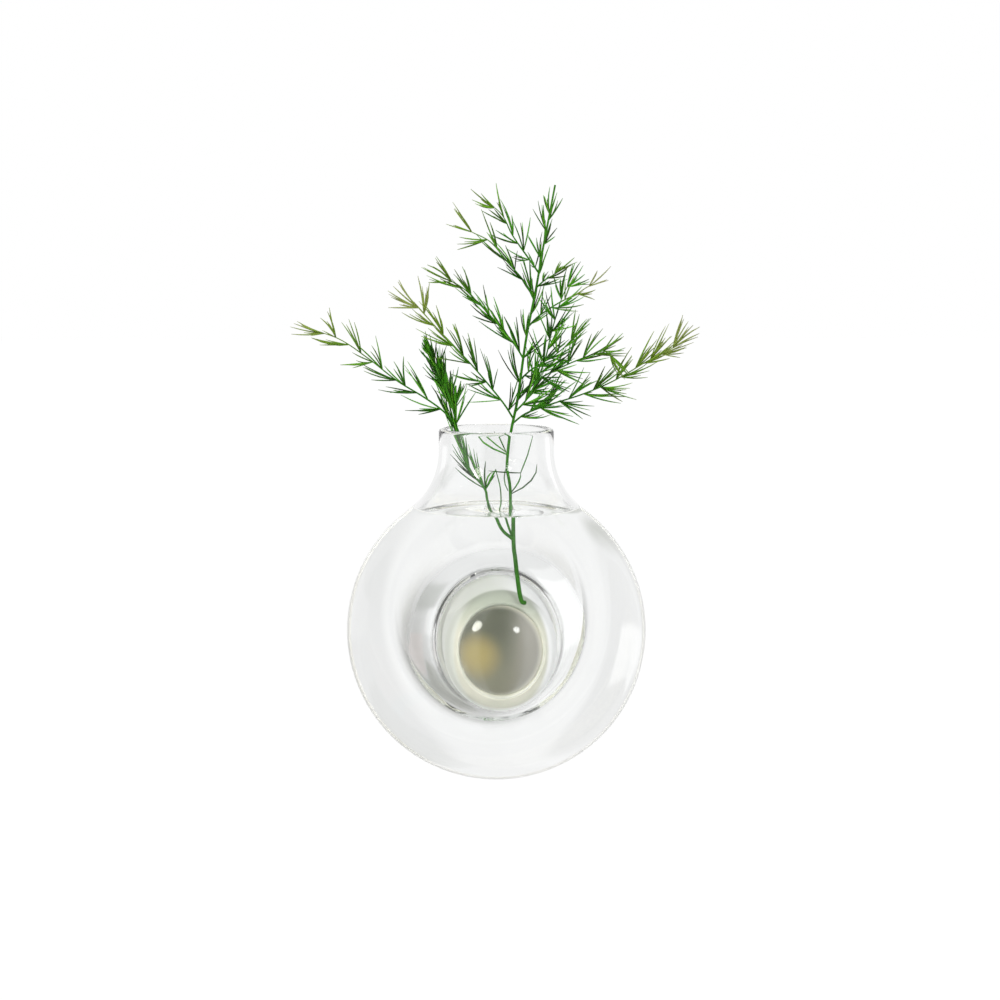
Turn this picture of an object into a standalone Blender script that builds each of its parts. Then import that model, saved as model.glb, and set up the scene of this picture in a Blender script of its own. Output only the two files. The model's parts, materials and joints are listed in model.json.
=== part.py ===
"""Magnetic wall vase: a blown-glass sphere with a pocket pushed in from behind, which slides over a peg on a magnet.

Frame: the wall is the plane y = 0, the room is at -Y, +Z is up. The origin is the centre of the grip pad's back face.
All sizes are in metres. Clearances between touching pieces are GAP.
"""

import math

import bmesh
import bpy
import numpy as np
from mathutils import Vector

MM = 0.001
GAP = 0.3 * MM

# Glass
BULB_R = 45.0 * MM
BULB_WALL_CLEARANCE = 1.0 * MM
BULB_ABOVE_POCKET = 5.2 * MM
BULB_ASIDE = -1.2 * MM
GLASS_T = 1.6 * MM
NECK_R = 17.25 * MM
NECK_T = 2.2 * MM
NECK_FILLET_R = 22.0 * MM
NECK_LENGTH = 6.6 * MM
RIM_ROUND = 0.9 * MM

# Pocket in the glass, measured on its air side. It is an oval, POCKET_TALL times as high as it is wide.
POCKET_TALL = 1.11
POCKET_GLASS_T = 1.3 * MM
POCKET_DOME_RISE = 6.6 * MM
POCKET_FLARE_R = 22.0 * MM
FLARE_PAST_SLEEVE = 1.5 * MM

# Peg, sleeve and nose cap
PEG_R = 9.3 * MM
PEG_FRONT = 38.0 * MM
PEG_FLANGE_R = 11.4 * MM
PEG_FLANGE_T = 1.7 * MM
PEG_HOLE_SPARE = 1.0 * MM
NOSE_RISE = 6.2 * MM
NOSE_SPIGOT_R = 4.0 * MM
NOSE_SPIGOT_LENGTH = 4.0 * MM
SLEEVE_T = 0.9 * MM
SLEEVE_BACK = 21.0 * MM
SLEEVE_RIB_DEPTH = 1.0 * MM
SLEEVE_RIB_WIDTH = 2.4 * MM
SLEEVE_RIB_AT = 26.0 * MM
SLEEVE_EDGE = 0.3 * MM
COLLAR_EDGE = 0.25 * MM

# Magnet base
PAD_R = 13.5 * MM
PAD_T = 0.8 * MM
CUP_R = 12.5 * MM
CUP_RIM_T = 1.3 * MM
CUP_FLOOR_T = 1.2 * MM
CUP_EDGE = 0.5 * MM
MAGNET_T = 3.0 * MM
MAGNET_HOLE_R = 2.5 * MM
MAGNET_RECESS = 0.1 * MM
SCREW_R = 1.9 * MM
SCREW_HEAD_R = 4.1 * MM
SCREW_LENGTH = 16.0 * MM
SCREW_SOCKET_R = 1.4 * MM
SCREW_SOCKET_DEPTH = 1.2 * MM

# Sprig: stems are thin tubes, needles are spikes that grow in clusters
STEM_FOOT_R = 0.6 * MM
STEM_TIP_R = 0.28 * MM
SIDE_STEM_R = 0.42 * MM
FROND_R = 0.34 * MM
FROND_TIP_R = 0.16 * MM
STEM_SIDES = 6
SPRIG_UNIT = 1.0 * MM
NODE_WIDTH = 0.75 * MM
FROND_BARE_FOOT = 1.2 * MM
BEND_STEP = 4.0 * MM
ROUTE_STEP = 0.4 * MM
NEEDLE_SPREAD = math.radians(38)
NECK_NEEDLE_CLEARANCE = 1.6 * MM

FLASK_SIDES = 40
POCKET_SIDES = 36
SMALL_SIDES = 28

# Places that follow from the sizes
BULB_C = Vector((BULB_ASIDE, -BULB_R - BULB_WALL_CLEARANCE, BULB_ABOVE_POCKET))
NECK_FOOT = math.sqrt((BULB_R + NECK_FILLET_R) ** 2 - (NECK_R + NECK_FILLET_R) ** 2)
RIM_ABOVE_BULB = NECK_FOOT + NECK_LENGTH
RIM_Z = BULB_C.z + RIM_ABOVE_BULB
NECK_IN_R = NECK_R - NECK_T
SLEEVE_IN_R = PEG_R + GAP
SLEEVE_OUT_R = SLEEVE_IN_R + SLEEVE_T
POCKET_R = SLEEVE_OUT_R + GAP
POCKET_BARREL_END = PEG_FRONT + GAP
POCKET_POLE = POCKET_BARREL_END + POCKET_DOME_RISE + POCKET_GLASS_T
POCKET_FLARE_AT = SLEEVE_BACK - FLARE_PAST_SLEEVE
CUP_BACK = PAD_T + GAP
MAGNET_BACK = CUP_BACK + MAGNET_RECESS
MAGNET_FRONT = MAGNET_BACK + MAGNET_T
CUP_FLOOR = MAGNET_FRONT + GAP
CUP_FRONT = CUP_FLOOR + CUP_FLOOR_T
MAGNET_R = CUP_R - CUP_RIM_T - GAP
PEG_BACK = CUP_FRONT + GAP
SCREW_BACK = MAGNET_BACK + MAGNET_RECESS
SCREW_HOLE_R = SCREW_R + GAP


def material(name, colour, roughness, metallic=0.0, transmission=0.0):
    """A Principled material with the piece's own colour and finish."""
    made = bpy.data.materials.new(name)
    made.use_nodes = True
    shader = made.node_tree.nodes["Principled BSDF"]
    shader.inputs["Base Color"].default_value = (*colour, 1.0)
    shader.inputs["Roughness"].default_value = roughness
    shader.inputs["Metallic"].default_value = metallic
    shader.inputs["Transmission Weight"].default_value = transmission
    return made


def add_object(name, bm, made, pivot=None):
    """A smooth-shaded object from a bmesh in world places. It is carried by the pivot of its moving body, if any."""
    bmesh.ops.recalc_face_normals(bm, faces=bm.faces)
    mesh = bpy.data.meshes.new(name)
    bm.to_mesh(mesh)
    bm.free()
    mesh.shade_smooth()
    mesh.set_sharp_from_angle(angle=math.radians(35))
    if made:
        mesh.materials.append(made)
    return place(bpy.data.objects.new(name, mesh), Vector(), pivot)


def place(obj, at, parent):
    """Links an object and puts it at a place in the world, under its parent."""
    bpy.context.collection.objects.link(obj)
    obj.parent = parent
    obj.location = at - (parent.matrix_world.translation if parent else Vector())
    bpy.context.view_layer.update()
    return obj


def add_pivot(name, at, parent=None):
    """An empty on a joint's axis. It carries the pieces of one moving body."""
    return place(bpy.data.objects.new(name, None), Vector(at), parent)


def arc(centre_r, centre_h, radius, start, end, steps, rise=None):
    """Points (r, h) on an arc, or on an ellipse if rise is its half height, with angles in degrees."""
    return [
        (
            centre_r + radius * math.cos(math.radians(start + (end - start) * i / steps)),
            centre_h + (rise or radius) * math.sin(math.radians(start + (end - start) * i / steps)),
        )
        for i in range(steps + 1)
    ]


def turned(outline, segments, along_wall_axis=False, closed=False):
    """A bmesh turned from an outline of (radius, height) points, about Z, or about Y with height measured from the wall.

    An open outline starts and ends on the axis. A closed one is a ring's section.
    """
    bm = bmesh.new()
    rings = []
    for radius, height in outline:
        count = 1 if radius < 1e-7 else segments
        ring = []
        for i in range(count):
            turn = 2 * math.pi * i / segments
            x, y = radius * math.cos(turn), radius * math.sin(turn)
            ring.append(bm.verts.new((x, -height, y) if along_wall_axis else (x, y, height)))
        rings.append(ring)
    pairs = list(zip(rings, rings[1:] + rings[:1])) if closed else list(zip(rings, rings[1:]))
    for low, high in pairs:
        for i in range(segments):
            j = (i + 1) % segments
            corners = [low[i % len(low)], low[j % len(low)], high[j % len(high)], high[i % len(high)]]
            bm.faces.new(list(dict.fromkeys(corners)))
    return bm


def tallness(turn):
    """How much further than the half width an oval that is POCKET_TALL times as high reaches, as a share of it."""
    return 1 / math.hypot(math.cos(turn), math.sin(turn) / POCKET_TALL) - 1


def ovalled(bm, base):
    """The bmesh with its points moved out from the pocket's axis by their tallness times base(radius, height)."""
    for v in bm.verts:
        radius = math.hypot(v.co.x, v.co.z)
        if radius > 1e-7:
            grown = 1 + tallness(math.atan2(v.co.z, v.co.x)) * base(radius, -v.co.y) / radius
            v.co.x *= grown
            v.co.z *= grown
    return bm


def add_cutter(name, bm):
    """An object that only cuts others. The render and the build leave it out."""
    cutter = add_object(name, bm, None)
    cutter.hide_render = True
    cutter.display_type = "WIRE"
    return cutter


def cut(obj, cutter):
    """Subtracts the cutter from the object."""
    change = obj.modifiers.new("cut_" + cutter.name, "BOOLEAN")
    change.operation = "DIFFERENCE"
    change.solver = "EXACT"
    change.object = cutter


def flask_outline(radius, neck_r, fillet_r, top):
    """Sphere, concave fillet and straight neck as (r, h) from the sphere's bottom, with h = 0 at the sphere's centre."""
    fillet_h = math.sqrt((radius + fillet_r) ** 2 - (neck_r + fillet_r) ** 2)
    seam = math.degrees(math.atan2(fillet_h, neck_r + fillet_r))
    sphere = arc(0, 0, radius, -90, seam, 15)
    fillet = arc(neck_r + fillet_r, fillet_h, fillet_r, 180 + seam, 180, 7)
    return [(0, sphere[0][1])] + sphere[1:-1] + fillet + top


def vessel_outside():
    """The outer flask, solid, with a rounded rim."""
    rim = arc(NECK_R - RIM_ROUND, RIM_ABOVE_BULB - RIM_ROUND, RIM_ROUND, 0, 90, 3)
    outline = flask_outline(BULB_R, NECK_R, NECK_FILLET_R, rim + [(0, RIM_ABOVE_BULB)])
    bm = turned(outline, FLASK_SIDES)
    bmesh.ops.translate(bm, verts=bm.verts, vec=BULB_C)
    return bm


def vessel_inside():
    """The room for water, open through the neck. It flares a little at the rim, so that the rim is round inside too."""
    flare = arc(NECK_IN_R + RIM_ROUND, RIM_ABOVE_BULB - RIM_ROUND, RIM_ROUND, 180, 125, 2)
    above = [(flare[-1][0] + 2 * RIM_ROUND, flare[-1][1] + 1.4 * RIM_ROUND)]
    above += [(above[0][0], RIM_ABOVE_BULB + 4 * RIM_ROUND), (0, RIM_ABOVE_BULB + 4 * RIM_ROUND)]
    fillet_r = NECK_FILLET_R + GLASS_T
    outline = flask_outline(BULB_R - GLASS_T, NECK_IN_R, fillet_r, flare + above)
    bm = turned(outline, FLASK_SIDES)
    bmesh.ops.translate(bm, verts=bm.verts, vec=BULB_C)
    return bm


def pocket(offset):
    """The pocket's shape grown by offset: a dome, a barrel and a flare that runs out behind the sphere."""
    dome = arc(0, POCKET_BARREL_END, POCKET_R + offset, 90, 0, 7, POCKET_DOME_RISE + offset)
    flare = arc(POCKET_R + POCKET_FLARE_R, POCKET_FLARE_AT, POCKET_FLARE_R - offset, 180, 265, 7)
    behind = -3 * GLASS_T
    outline = [(0, dome[0][1])] + dome[1:] + flare + [(flare[-1][0], behind), (0, behind)]
    barrel_r = POCKET_R + offset
    shape = turned(outline, POCKET_SIDES, along_wall_axis=True)
    return ovalled(shape, lambda radius, height: POCKET_R * min(1, radius / barrel_r))


def build_vessel(pivot):
    """One piece of glass: the flask less its inside, with the pocket pushed in from the wall side."""
    glass = material("clear_glass", (0.95, 0.96, 0.96), 0.02, transmission=1.0)
    inside = add_cutter("water_room", vessel_inside())
    cut(inside, add_cutter("pocket_outside", pocket(POCKET_GLASS_T)))
    vessel = add_object("glass_vessel", vessel_outside(), glass, pivot)
    cut(vessel, inside)
    cut(vessel, add_cutter("pocket_inside", pocket(0)))


def build_grip_pad():
    """Thin rubber disc that bears on the wall."""
    rubber = material("pale_rubber", (0.87, 0.86, 0.82), 0.8)
    outline = [(0, 0), (PAD_R, 0), (PAD_R, 0.6 * PAD_T), (PAD_R - 0.4 * PAD_T, PAD_T), (0, PAD_T)]
    add_object("grip_pad", turned(outline, SMALL_SIDES, along_wall_axis=True), rubber)


def build_magnet_cup():
    """Steel pot that is open to the wall, with a hole for the screw."""
    steel = material("white_enamel", (0.89, 0.89, 0.87), 0.3)
    section = [
        (CUP_R, CUP_BACK),
        (CUP_R, CUP_FRONT - CUP_EDGE),
        (CUP_R - CUP_EDGE, CUP_FRONT),
        (SCREW_HOLE_R, CUP_FRONT),
        (SCREW_HOLE_R, CUP_FLOOR),
        (CUP_R - CUP_RIM_T, CUP_FLOOR),
        (CUP_R - CUP_RIM_T, CUP_BACK),
    ]
    add_object("magnet_cup", turned(section, SMALL_SIDES, along_wall_axis=True, closed=True), steel)


def build_ring_magnet():
    """Neodymium ring with a countersink for the screw's head on the wall side."""
    nickel = material("nickel_plate", (0.72, 0.71, 0.68), 0.18, metallic=1.0)
    sink_r = SCREW_HEAD_R + 1.5 * GAP
    sink_depth = sink_r - MAGNET_HOLE_R
    section = [
        (MAGNET_R, MAGNET_BACK),
        (MAGNET_R, MAGNET_FRONT),
        (MAGNET_HOLE_R, MAGNET_FRONT),
        (MAGNET_HOLE_R, MAGNET_BACK + sink_depth),
        (sink_r, MAGNET_BACK),
    ]
    add_object("ring_magnet", turned(section, SMALL_SIDES, along_wall_axis=True, closed=True), nickel)


def build_fixing_screw():
    """Countersunk screw with a hexagon socket, from the wall side through magnet and cup into the peg."""
    steel = material("screw_steel", (0.45, 0.45, 0.47), 0.28, metallic=1.0)
    head_depth = SCREW_HEAD_R - SCREW_R
    tip = SCREW_BACK + SCREW_LENGTH
    outline = [
        (0, SCREW_BACK),
        (SCREW_HEAD_R, SCREW_BACK),
        (SCREW_R, SCREW_BACK + head_depth),
        (SCREW_R, tip - 0.5 * SCREW_R),
        (0.5 * SCREW_R, tip),
        (0, tip),
    ]
    screw = add_object("fixing_screw", turned(outline, 18, along_wall_axis=True), steel)
    socket = [
        (0, SCREW_BACK - SCREW_SOCKET_DEPTH),
        (SCREW_SOCKET_R, SCREW_BACK - SCREW_SOCKET_DEPTH),
        (SCREW_SOCKET_R, SCREW_BACK + SCREW_SOCKET_DEPTH),
        (0, SCREW_BACK + SCREW_SOCKET_DEPTH),
    ]
    cut(screw, add_cutter("screw_socket", turned(socket, 6, along_wall_axis=True)))


def build_peg():
    """Turned peg: a flange on the cup, a blind screw hole, a groove for the sleeve's rib and a spigot for the nose."""
    plastic = material("cream_plastic", (0.83, 0.8, 0.7), 0.4)
    groove_r = PEG_R - SLEEVE_RIB_DEPTH - GAP
    groove_half = 0.5 * SLEEVE_RIB_WIDTH + GAP
    hole_end = SCREW_BACK + SCREW_LENGTH + PEG_HOLE_SPARE
    outline = [
        (0, hole_end),
        (SCREW_HOLE_R, hole_end),
        (SCREW_HOLE_R, PEG_BACK),
        (PEG_FLANGE_R, PEG_BACK),
        (PEG_FLANGE_R, PEG_BACK + PEG_FLANGE_T),
        (PEG_R, PEG_BACK + PEG_FLANGE_T),
        (PEG_R, SLEEVE_RIB_AT - groove_half),
        (groove_r, SLEEVE_RIB_AT - groove_half),
        (groove_r, SLEEVE_RIB_AT + groove_half),
        (PEG_R, SLEEVE_RIB_AT + groove_half),
        (PEG_R, PEG_FRONT),
        (NOSE_SPIGOT_R, PEG_FRONT),
        (NOSE_SPIGOT_R, PEG_FRONT + NOSE_SPIGOT_LENGTH),
        (0, PEG_FRONT + NOSE_SPIGOT_LENGTH),
    ]
    add_object("peg", turned(outline, POCKET_SIDES, along_wall_axis=True), plastic)


def build_nose_cap(pivot):
    """Glossy grey oval dome that is snapped on the peg's spigot, where it turns with the sleeve."""
    grey = material("olive_grey_gloss", (0.2, 0.2, 0.16), 0.06)
    back = PEG_FRONT + GAP
    bore_r = NOSE_SPIGOT_R + GAP
    bore_end = PEG_FRONT + NOSE_SPIGOT_LENGTH + GAP
    dome = arc(0, back, PEG_R, 0, 90, 8, NOSE_RISE)
    outline = [(0, bore_end), (bore_r, bore_end), (bore_r, back)] + dome[:-1] + [(0, dome[-1][1])]
    shape = turned(outline, POCKET_SIDES, along_wall_axis=True)
    in_bore = (bore_r + 0.5 * GAP, bore_end + 0.5 * GAP)
    ovalled(shape, lambda radius, height: 0 if radius < in_bore[0] and height < in_bore[1] else radius)
    add_object("nose_cap", shape, grey, pivot)


def build_sleeve(pivot):
    """Soft sleeve that turns on the peg. Its inner rib runs in the peg's groove and keeps it from sliding off.

    It is oval outside, as the pocket is, and its front is a collar that follows the pocket's dome round the nose cap.
    """
    cream = material("cream_sleeve", (0.87, 0.84, 0.73), 0.45)
    rib_half = 0.5 * SLEEVE_RIB_WIDTH
    rib_r = SLEEVE_IN_R - SLEEVE_RIB_DEPTH
    collar_in_r = SLEEVE_IN_R + COLLAR_EDGE
    collar_end = math.degrees(math.acos(collar_in_r / SLEEVE_OUT_R))
    collar = arc(0, POCKET_BARREL_END, SLEEVE_OUT_R, 0, collar_end, 3, POCKET_DOME_RISE - GAP)
    section = [
        (SLEEVE_IN_R, SLEEVE_BACK),
        (SLEEVE_OUT_R - SLEEVE_EDGE, SLEEVE_BACK),
        (SLEEVE_OUT_R, SLEEVE_BACK + SLEEVE_EDGE),
        *collar,
        (SLEEVE_IN_R, collar[-1][1] - COLLAR_EDGE),
        (SLEEVE_IN_R, POCKET_BARREL_END),
        (SLEEVE_IN_R, PEG_FRONT),
        (SLEEVE_IN_R, SLEEVE_RIB_AT + rib_half),
        (rib_r, SLEEVE_RIB_AT + rib_half),
        (rib_r, SLEEVE_RIB_AT - rib_half),
        (SLEEVE_IN_R, SLEEVE_RIB_AT - rib_half),
    ]
    shape = turned(section, POCKET_SIDES, along_wall_axis=True, closed=True)

    def base(radius, height):
        if radius > SLEEVE_IN_R + 0.1 * GAP:
            return POCKET_R
        return radius if height > PEG_FRONT + 0.5 * GAP else 0

    add_object("pocket_sleeve", ovalled(shape, base), cream, pivot)


def smooth_route(points, step):
    """Points at even steps on a Catmull-Rom curve through the given ones."""
    p = np.array(points, dtype=float)
    p = np.vstack([2 * p[0] - p[1], p, 2 * p[-1] - p[-2]])
    t = np.linspace(0, 1, 24, endpoint=False)[:, None]
    parts = []
    for a, b, c, d in zip(p, p[1:], p[2:], p[3:]):
        parts.append(b + 0.5 * t * (c - a + t * (2 * a - 5 * b + 4 * c - d + t * (3 * (b - c) + d - a))))
    fine = np.vstack(parts + [p[-2:-1]])
    run = np.concatenate([[0], np.cumsum(np.linalg.norm(np.diff(fine, axis=0), axis=1))])
    even = np.linspace(0, run[-1], max(2, int(round(run[-1] / step)) + 1))
    return np.stack([np.interp(even, run, fine[:, k]) for k in range(3)], axis=1)


def stem_radius(share, foot_r, tip_r):
    """A stem's radius at a share of its length."""
    return foot_r + (tip_r - foot_r) * share


def seated(route, foot_r, parent, parent_foot_r, parent_tip_r):
    """The route from where a tube of foot_r is GAP clear of the tapering parent stem."""
    shares = np.linspace(0, 1, len(parent))
    parent_r = stem_radius(shares, parent_foot_r, parent_tip_r)
    clear = [min(np.linalg.norm(parent - p, axis=1) - parent_r) >= GAP + foot_r for p in route]
    return route[clear.index(True):]


def keep_in_neck(p):
    """Below the rim, a point is drawn in until it is clear of the neck's glass."""
    limit = NECK_IN_R - NECK_NEEDLE_CLEARANCE
    reach = math.hypot(p[0] - BULB_C.x, p[1] - BULB_C.y)
    if p[2] > RIM_Z + 2 * RIM_ROUND or reach <= limit:
        return p
    share = limit / reach
    return np.array([BULB_C.x + (p[0] - BULB_C.x) * share, BULB_C.y + (p[1] - BULB_C.y) * share, p[2]])


def clusters_along(route, spacing, skip):
    """Where clusters grow, as lengths along the route, evenly spaced from skip to just short of the tip."""
    run = np.concatenate([[0], np.cumsum(np.linalg.norm(np.diff(route, axis=0), axis=1))])
    count = max(1, int((run[-1] - skip - spacing) / spacing))
    return run, [skip + spacing * (i + 0.5) for i in range(count)]


def spiny_tube(route, foot_r, tip_r, clusters, run, needle_sides, needle_length):
    """A thin tube along the route, ending in a point, with spikes pulled out of some of its side faces.

    Each cluster is a narrow band of the tube. In it, each side listed by needle_sides(i) is pulled out to a point
    that leans forward along the stem by NEEDLE_SPREAD from it.
    """
    between = np.arange(BEND_STEP, run[-1] - 0.5 * BEND_STEP, BEND_STEP)
    between = [b for b in between if all(abs(b - s) > 0.4 * BEND_STEP for s in clusters)]
    edges = [s + side * 0.5 * NODE_WIDTH for s in clusters for side in (-1, 1)]
    marks = [0.0] + sorted(between + edges)
    bands = [marks.index(edge) for edge in edges[::2]]
    centre = np.stack([np.interp(marks, run, route[:, k]) for k in range(3)], axis=1)
    ahead = np.stack([np.interp(np.array(marks) + NODE_WIDTH, run, route[:, k]) for k in range(3)], axis=1)
    tangent = ahead - centre
    tangent /= np.linalg.norm(tangent, axis=1)[:, None]
    across = np.cross(tangent, [0, 1, 0])
    across /= np.linalg.norm(across, axis=1)[:, None]
    depth = np.cross(tangent, across)
    bm = bmesh.new()
    rings = []
    for k, s in enumerate(marks):
        radius = stem_radius(s / run[-1], foot_r, tip_r)
        turns = [2 * math.pi * (i + 0.5) / STEM_SIDES for i in range(STEM_SIDES)]
        corners = [centre[k] + radius * (math.cos(t) * across[k] + math.sin(t) * depth[k]) for t in turns]
        rings.append([bm.verts.new(c) for c in corners])
    bm.faces.new(rings[0][::-1])
    for k, (low, high) in enumerate(zip(rings, rings[1:])):
        cluster = bands.index(k) if k in bands else None
        pulled = needle_sides(cluster) if cluster is not None else ()
        for i in range(STEM_SIDES):
            j = (i + 1) % STEM_SIDES
            quad = [low[i], low[j], high[j], high[i]]
            if i not in pulled:
                bm.faces.new(quad)
                continue
            turn = 2 * math.pi * (i + 1) / STEM_SIDES
            outward = math.cos(turn) * across[k] + math.sin(turn) * depth[k]
            lean = math.cos(NEEDLE_SPREAD) * tangent[k] + math.sin(NEEDLE_SPREAD) * outward
            middle = sum((np.array(v.co) for v in quad), np.zeros(3)) / 4
            apex = bm.verts.new(keep_in_neck(middle + lean * needle_length(cluster, i)))
            for a, b in zip(quad, quad[1:] + quad[:1]):
                bm.faces.new([a, b, apex])
    apex = bm.verts.new(route[-1])
    last = rings[-1]
    for i in range(STEM_SIDES):
        bm.faces.new([last[i], last[(i + 1) % STEM_SIDES], apex])
    return bm


def at_rim(x, y, z):
    """A point of the sprig, in its own unit, from the middle of the rim."""
    return (BULB_C.x + x * SPRIG_UNIT, BULB_C.y + y * SPRIG_UNIT, RIM_Z + z * SPRIG_UNIT)


def on_pocket(x, y, z):
    """A point of the sprig, in its own unit, from the pocket's front pole, at the height of the pocket's top."""
    pocket_top = POCKET_R * POCKET_TALL + POCKET_GLASS_T
    return (x * SPRIG_UNIT, y * SPRIG_UNIT - POCKET_POLE, pocket_top + z * SPRIG_UNIT)


MAIN_STEM = [
    on_pocket(5.3, 3.5, -2.0),
    on_pocket(4.6, 2.8, 1.0),
    on_pocket(3.5, 1.4, 8.0),
    on_pocket(2.8, 0.4, 14.0),
    at_rim(4.2, 0, -19.5),
    at_rim(3.2, 0, -11.0),
    at_rim(4.4, 0, -1.0),
    at_rim(6.4, 0, 9.0),
    at_rim(8.9, 0, 26.7),
    at_rim(11.9, 0, 42.0),
    at_rim(13.6, 0, 52.0),
    at_rim(15.6, 0, 62.5),
    at_rim(17.5, 0, 72.5),
]
SIDE_STEM = [
    on_pocket(2.8, 0.4, 13.0),
    on_pocket(-0.6, -0.7, 17.5),
    at_rim(-2.6, -2.0, -22.5),
    at_rim(-3.6, -2.0, -18.0),
    at_rim(-7.6, -2.0, -12.8),
    at_rim(-10.3, -2.0, -6.0),
    at_rim(-12.0, -2.0, 1.0),
    at_rim(-12.8, -2.4, 7.0),
    at_rim(-12.2, -3.0, 13.0),
]

# Each cluster on a stem, in the sprig's unit: its length along the stem, and its needles' length
MAIN_CLUSTERS = [
    (36, 10), (47.5, 9), (100, 5), (109, 5), (117, 5), (122, 4.5)]
SIDE_CLUSTERS = [(16, 8), (24, 6), (41.5, 8), (44.5, 7)]

# Each frond, in the sprig's unit: its parent, its route, the spacing of its clusters, and its needles' length at
# foot and tip
FRONDS = {
    "frond_low_left": ("side_stem", [
        (-12.2, -2.0, 1.6), (-16.5, -5.0, 6.0), (-22.0, -6.4, 10.0), (-30.0, -7.0, 15.0), (-38.0, -7.5, 21.3),
        (-47.5, -8.0, 27.6), (-59.3, -8.0, 31.0)], 4.6, 9.0, 5.0),
    "frond_feather": ("side_stem", [
        (-12.6, -2.1, 4.2), (-13.8, 1.6, 8.6), (-16.4, 3.2, 14.5), (-19.0, 3.6, 21.0), (-21.8, 4.0, 26.5)],
        2.3, 7.0, 3.5),
    "frond_mid_left": ("main_stem", [
        (5.0, 0.0, 3.0), (1.8, -3.0, 8.0), (-5.5, -5.0, 17.0), (-12.0, -5.6, 24.2), (-18.0, -6.0, 30.5),
        (-23.0, -6.0, 36.0), (-29.0, -6.0, 43.0)], 4.4, 8.5, 5.0),
    "frond_fan_left": ("main_stem", [
        (8.0, 0.0, 21.0), (5.5, 3.0, 25.0), (0.5, 5.0, 31.0), (-4.5, 6.0, 36.5), (-11.0, 6.4, 42.5),
        (-20.5, 6.6, 46.5)], 3.6, 7.5, 4.5),
    "frond_high_left": ("main_stem", [
        (11.2, 0.0, 38.5), (8.5, -3.0, 43.5), (3.0, -4.6, 50.0), (-2.0, -5.2, 55.8), (-8.0, -5.6, 59.0),
        (-14.2, -5.6, 63.0)], 4.4, 7.5, 4.5),
    "frond_top_left": ("main_stem", [
        (12.6, 0.0, 46.5), (9.5, 3.0, 51.0), (5.0, 4.6, 57.5), (1.5, 5.0, 64.0), (-6.0, 5.2, 70.0)],
        3.8, 7.0, 4.5),
    "frond_top_right": ("main_stem", [
        (11.9, 0.0, 42.0), (14.5, -3.0, 44.5), (18.5, -4.4, 47.0), (22.5, -5.0, 50.0)], 4.0, 5.0, 3.5),
    "frond_high_right": ("main_stem", [
        (9.6, 0.0, 30.5), (13.0, 3.0, 33.5), (18.5, 4.6, 37.0), (24.5, 5.4, 40.0), (29.0, 5.6, 42.3),
        (34.0, 5.6, 39.5)], 4.2, 6.0, 4.0),
    "frond_tall_right": ("main_stem", [
        (5.4, 0.0, 4.6), (9.6, -3.6, 10.0), (14.0, -5.6, 20.0), (16.4, -6.4, 30.0), (19.5, -6.8, 40.0),
        (24.0, -7.0, 48.0)], 4.0, 8.0, 4.5),
    "frond_mid_right": ("main_stem", [
        (7.2, 0.0, 14.6), (11.0, 4.0, 17.5), (18.0, 7.4, 21.5), (24.0, 9.0, 26.5), (28.0, 9.6, 31.0)],
        4.0, 8.0, 4.5),
    "frond_inner_right": ("main_stem", [
        (6.4, 0.0, 9.5), (11.0, 1.0, 13.5), (18.0, 0.5, 17.5), (27.0, -1.5, 21.5), (33.0, -2.0, 22.8),
        (37.6, -2.0, 15.5)], 4.2, 7.0, 4.5),
    "frond_long_right": ("main_stem", [
        (4.6, 0.0, 1.2), (9.0, 4.5, 4.0), (16.0, 7.0, 6.4), (26.0, 8.4, 9.4), (36.0, 9.0, 13.6), (47.0, 9.2, 20.0),
        (54.0, 9.2, 23.5), (61.6, 9.2, 28.0)], 4.6, 8.0, 5.0),
}


def needle_picker(fan):
    """Which sides of the tube carry needles in cluster i: fans lie left and right, with every third one to the front."""
    def pick(i):
        flat = {0: (0, 2, 5), 1: (3, 5, 2), 2: (2, 5, 1)}
        return flat[i % 3] if not fan else (0, 2, 3, 5)
    return pick


def build_stem(name, route, foot_r, tip_r, clusters, made, pivot):
    """A stem with clusters at the given lengths along it, each with the length of its needles."""
    run = np.concatenate([[0], np.cumsum(np.linalg.norm(np.diff(route, axis=0), axis=1))])
    places = [place * SPRIG_UNIT for place, length in clusters]
    lengths = [length * SPRIG_UNIT for place, length in clusters]
    bm = spiny_tube(route, foot_r, tip_r, places, run, lambda i: (0, 2, 3, 5), lambda i, side: lengths[i])
    add_object(name, bm, made, pivot)


def build_frond(name, parent, route, spacing, long, short, made, pivot):
    """A side shoot that starts a small gap away from its parent and is covered with clusters of needles."""
    shoot = seated(smooth_route([at_rim(*p) for p in route], ROUTE_STEP), FROND_R, *parent)
    run, clusters = clusters_along(shoot, spacing * SPRIG_UNIT, FROND_BARE_FOOT)

    def needle_length(i, side):
        share = (i + 1) / len(clusters)
        uneven = 1.0 + 0.16 * math.sin(2.4 * i + 1.7 * side)
        return (long + (short - long) * share) * SPRIG_UNIT * uneven

    pick = needle_picker(name == "frond_feather")
    bm = spiny_tube(shoot, FROND_R, FROND_TIP_R, clusters, run, pick, needle_length)
    add_object(name, bm, made, pivot)


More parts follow.
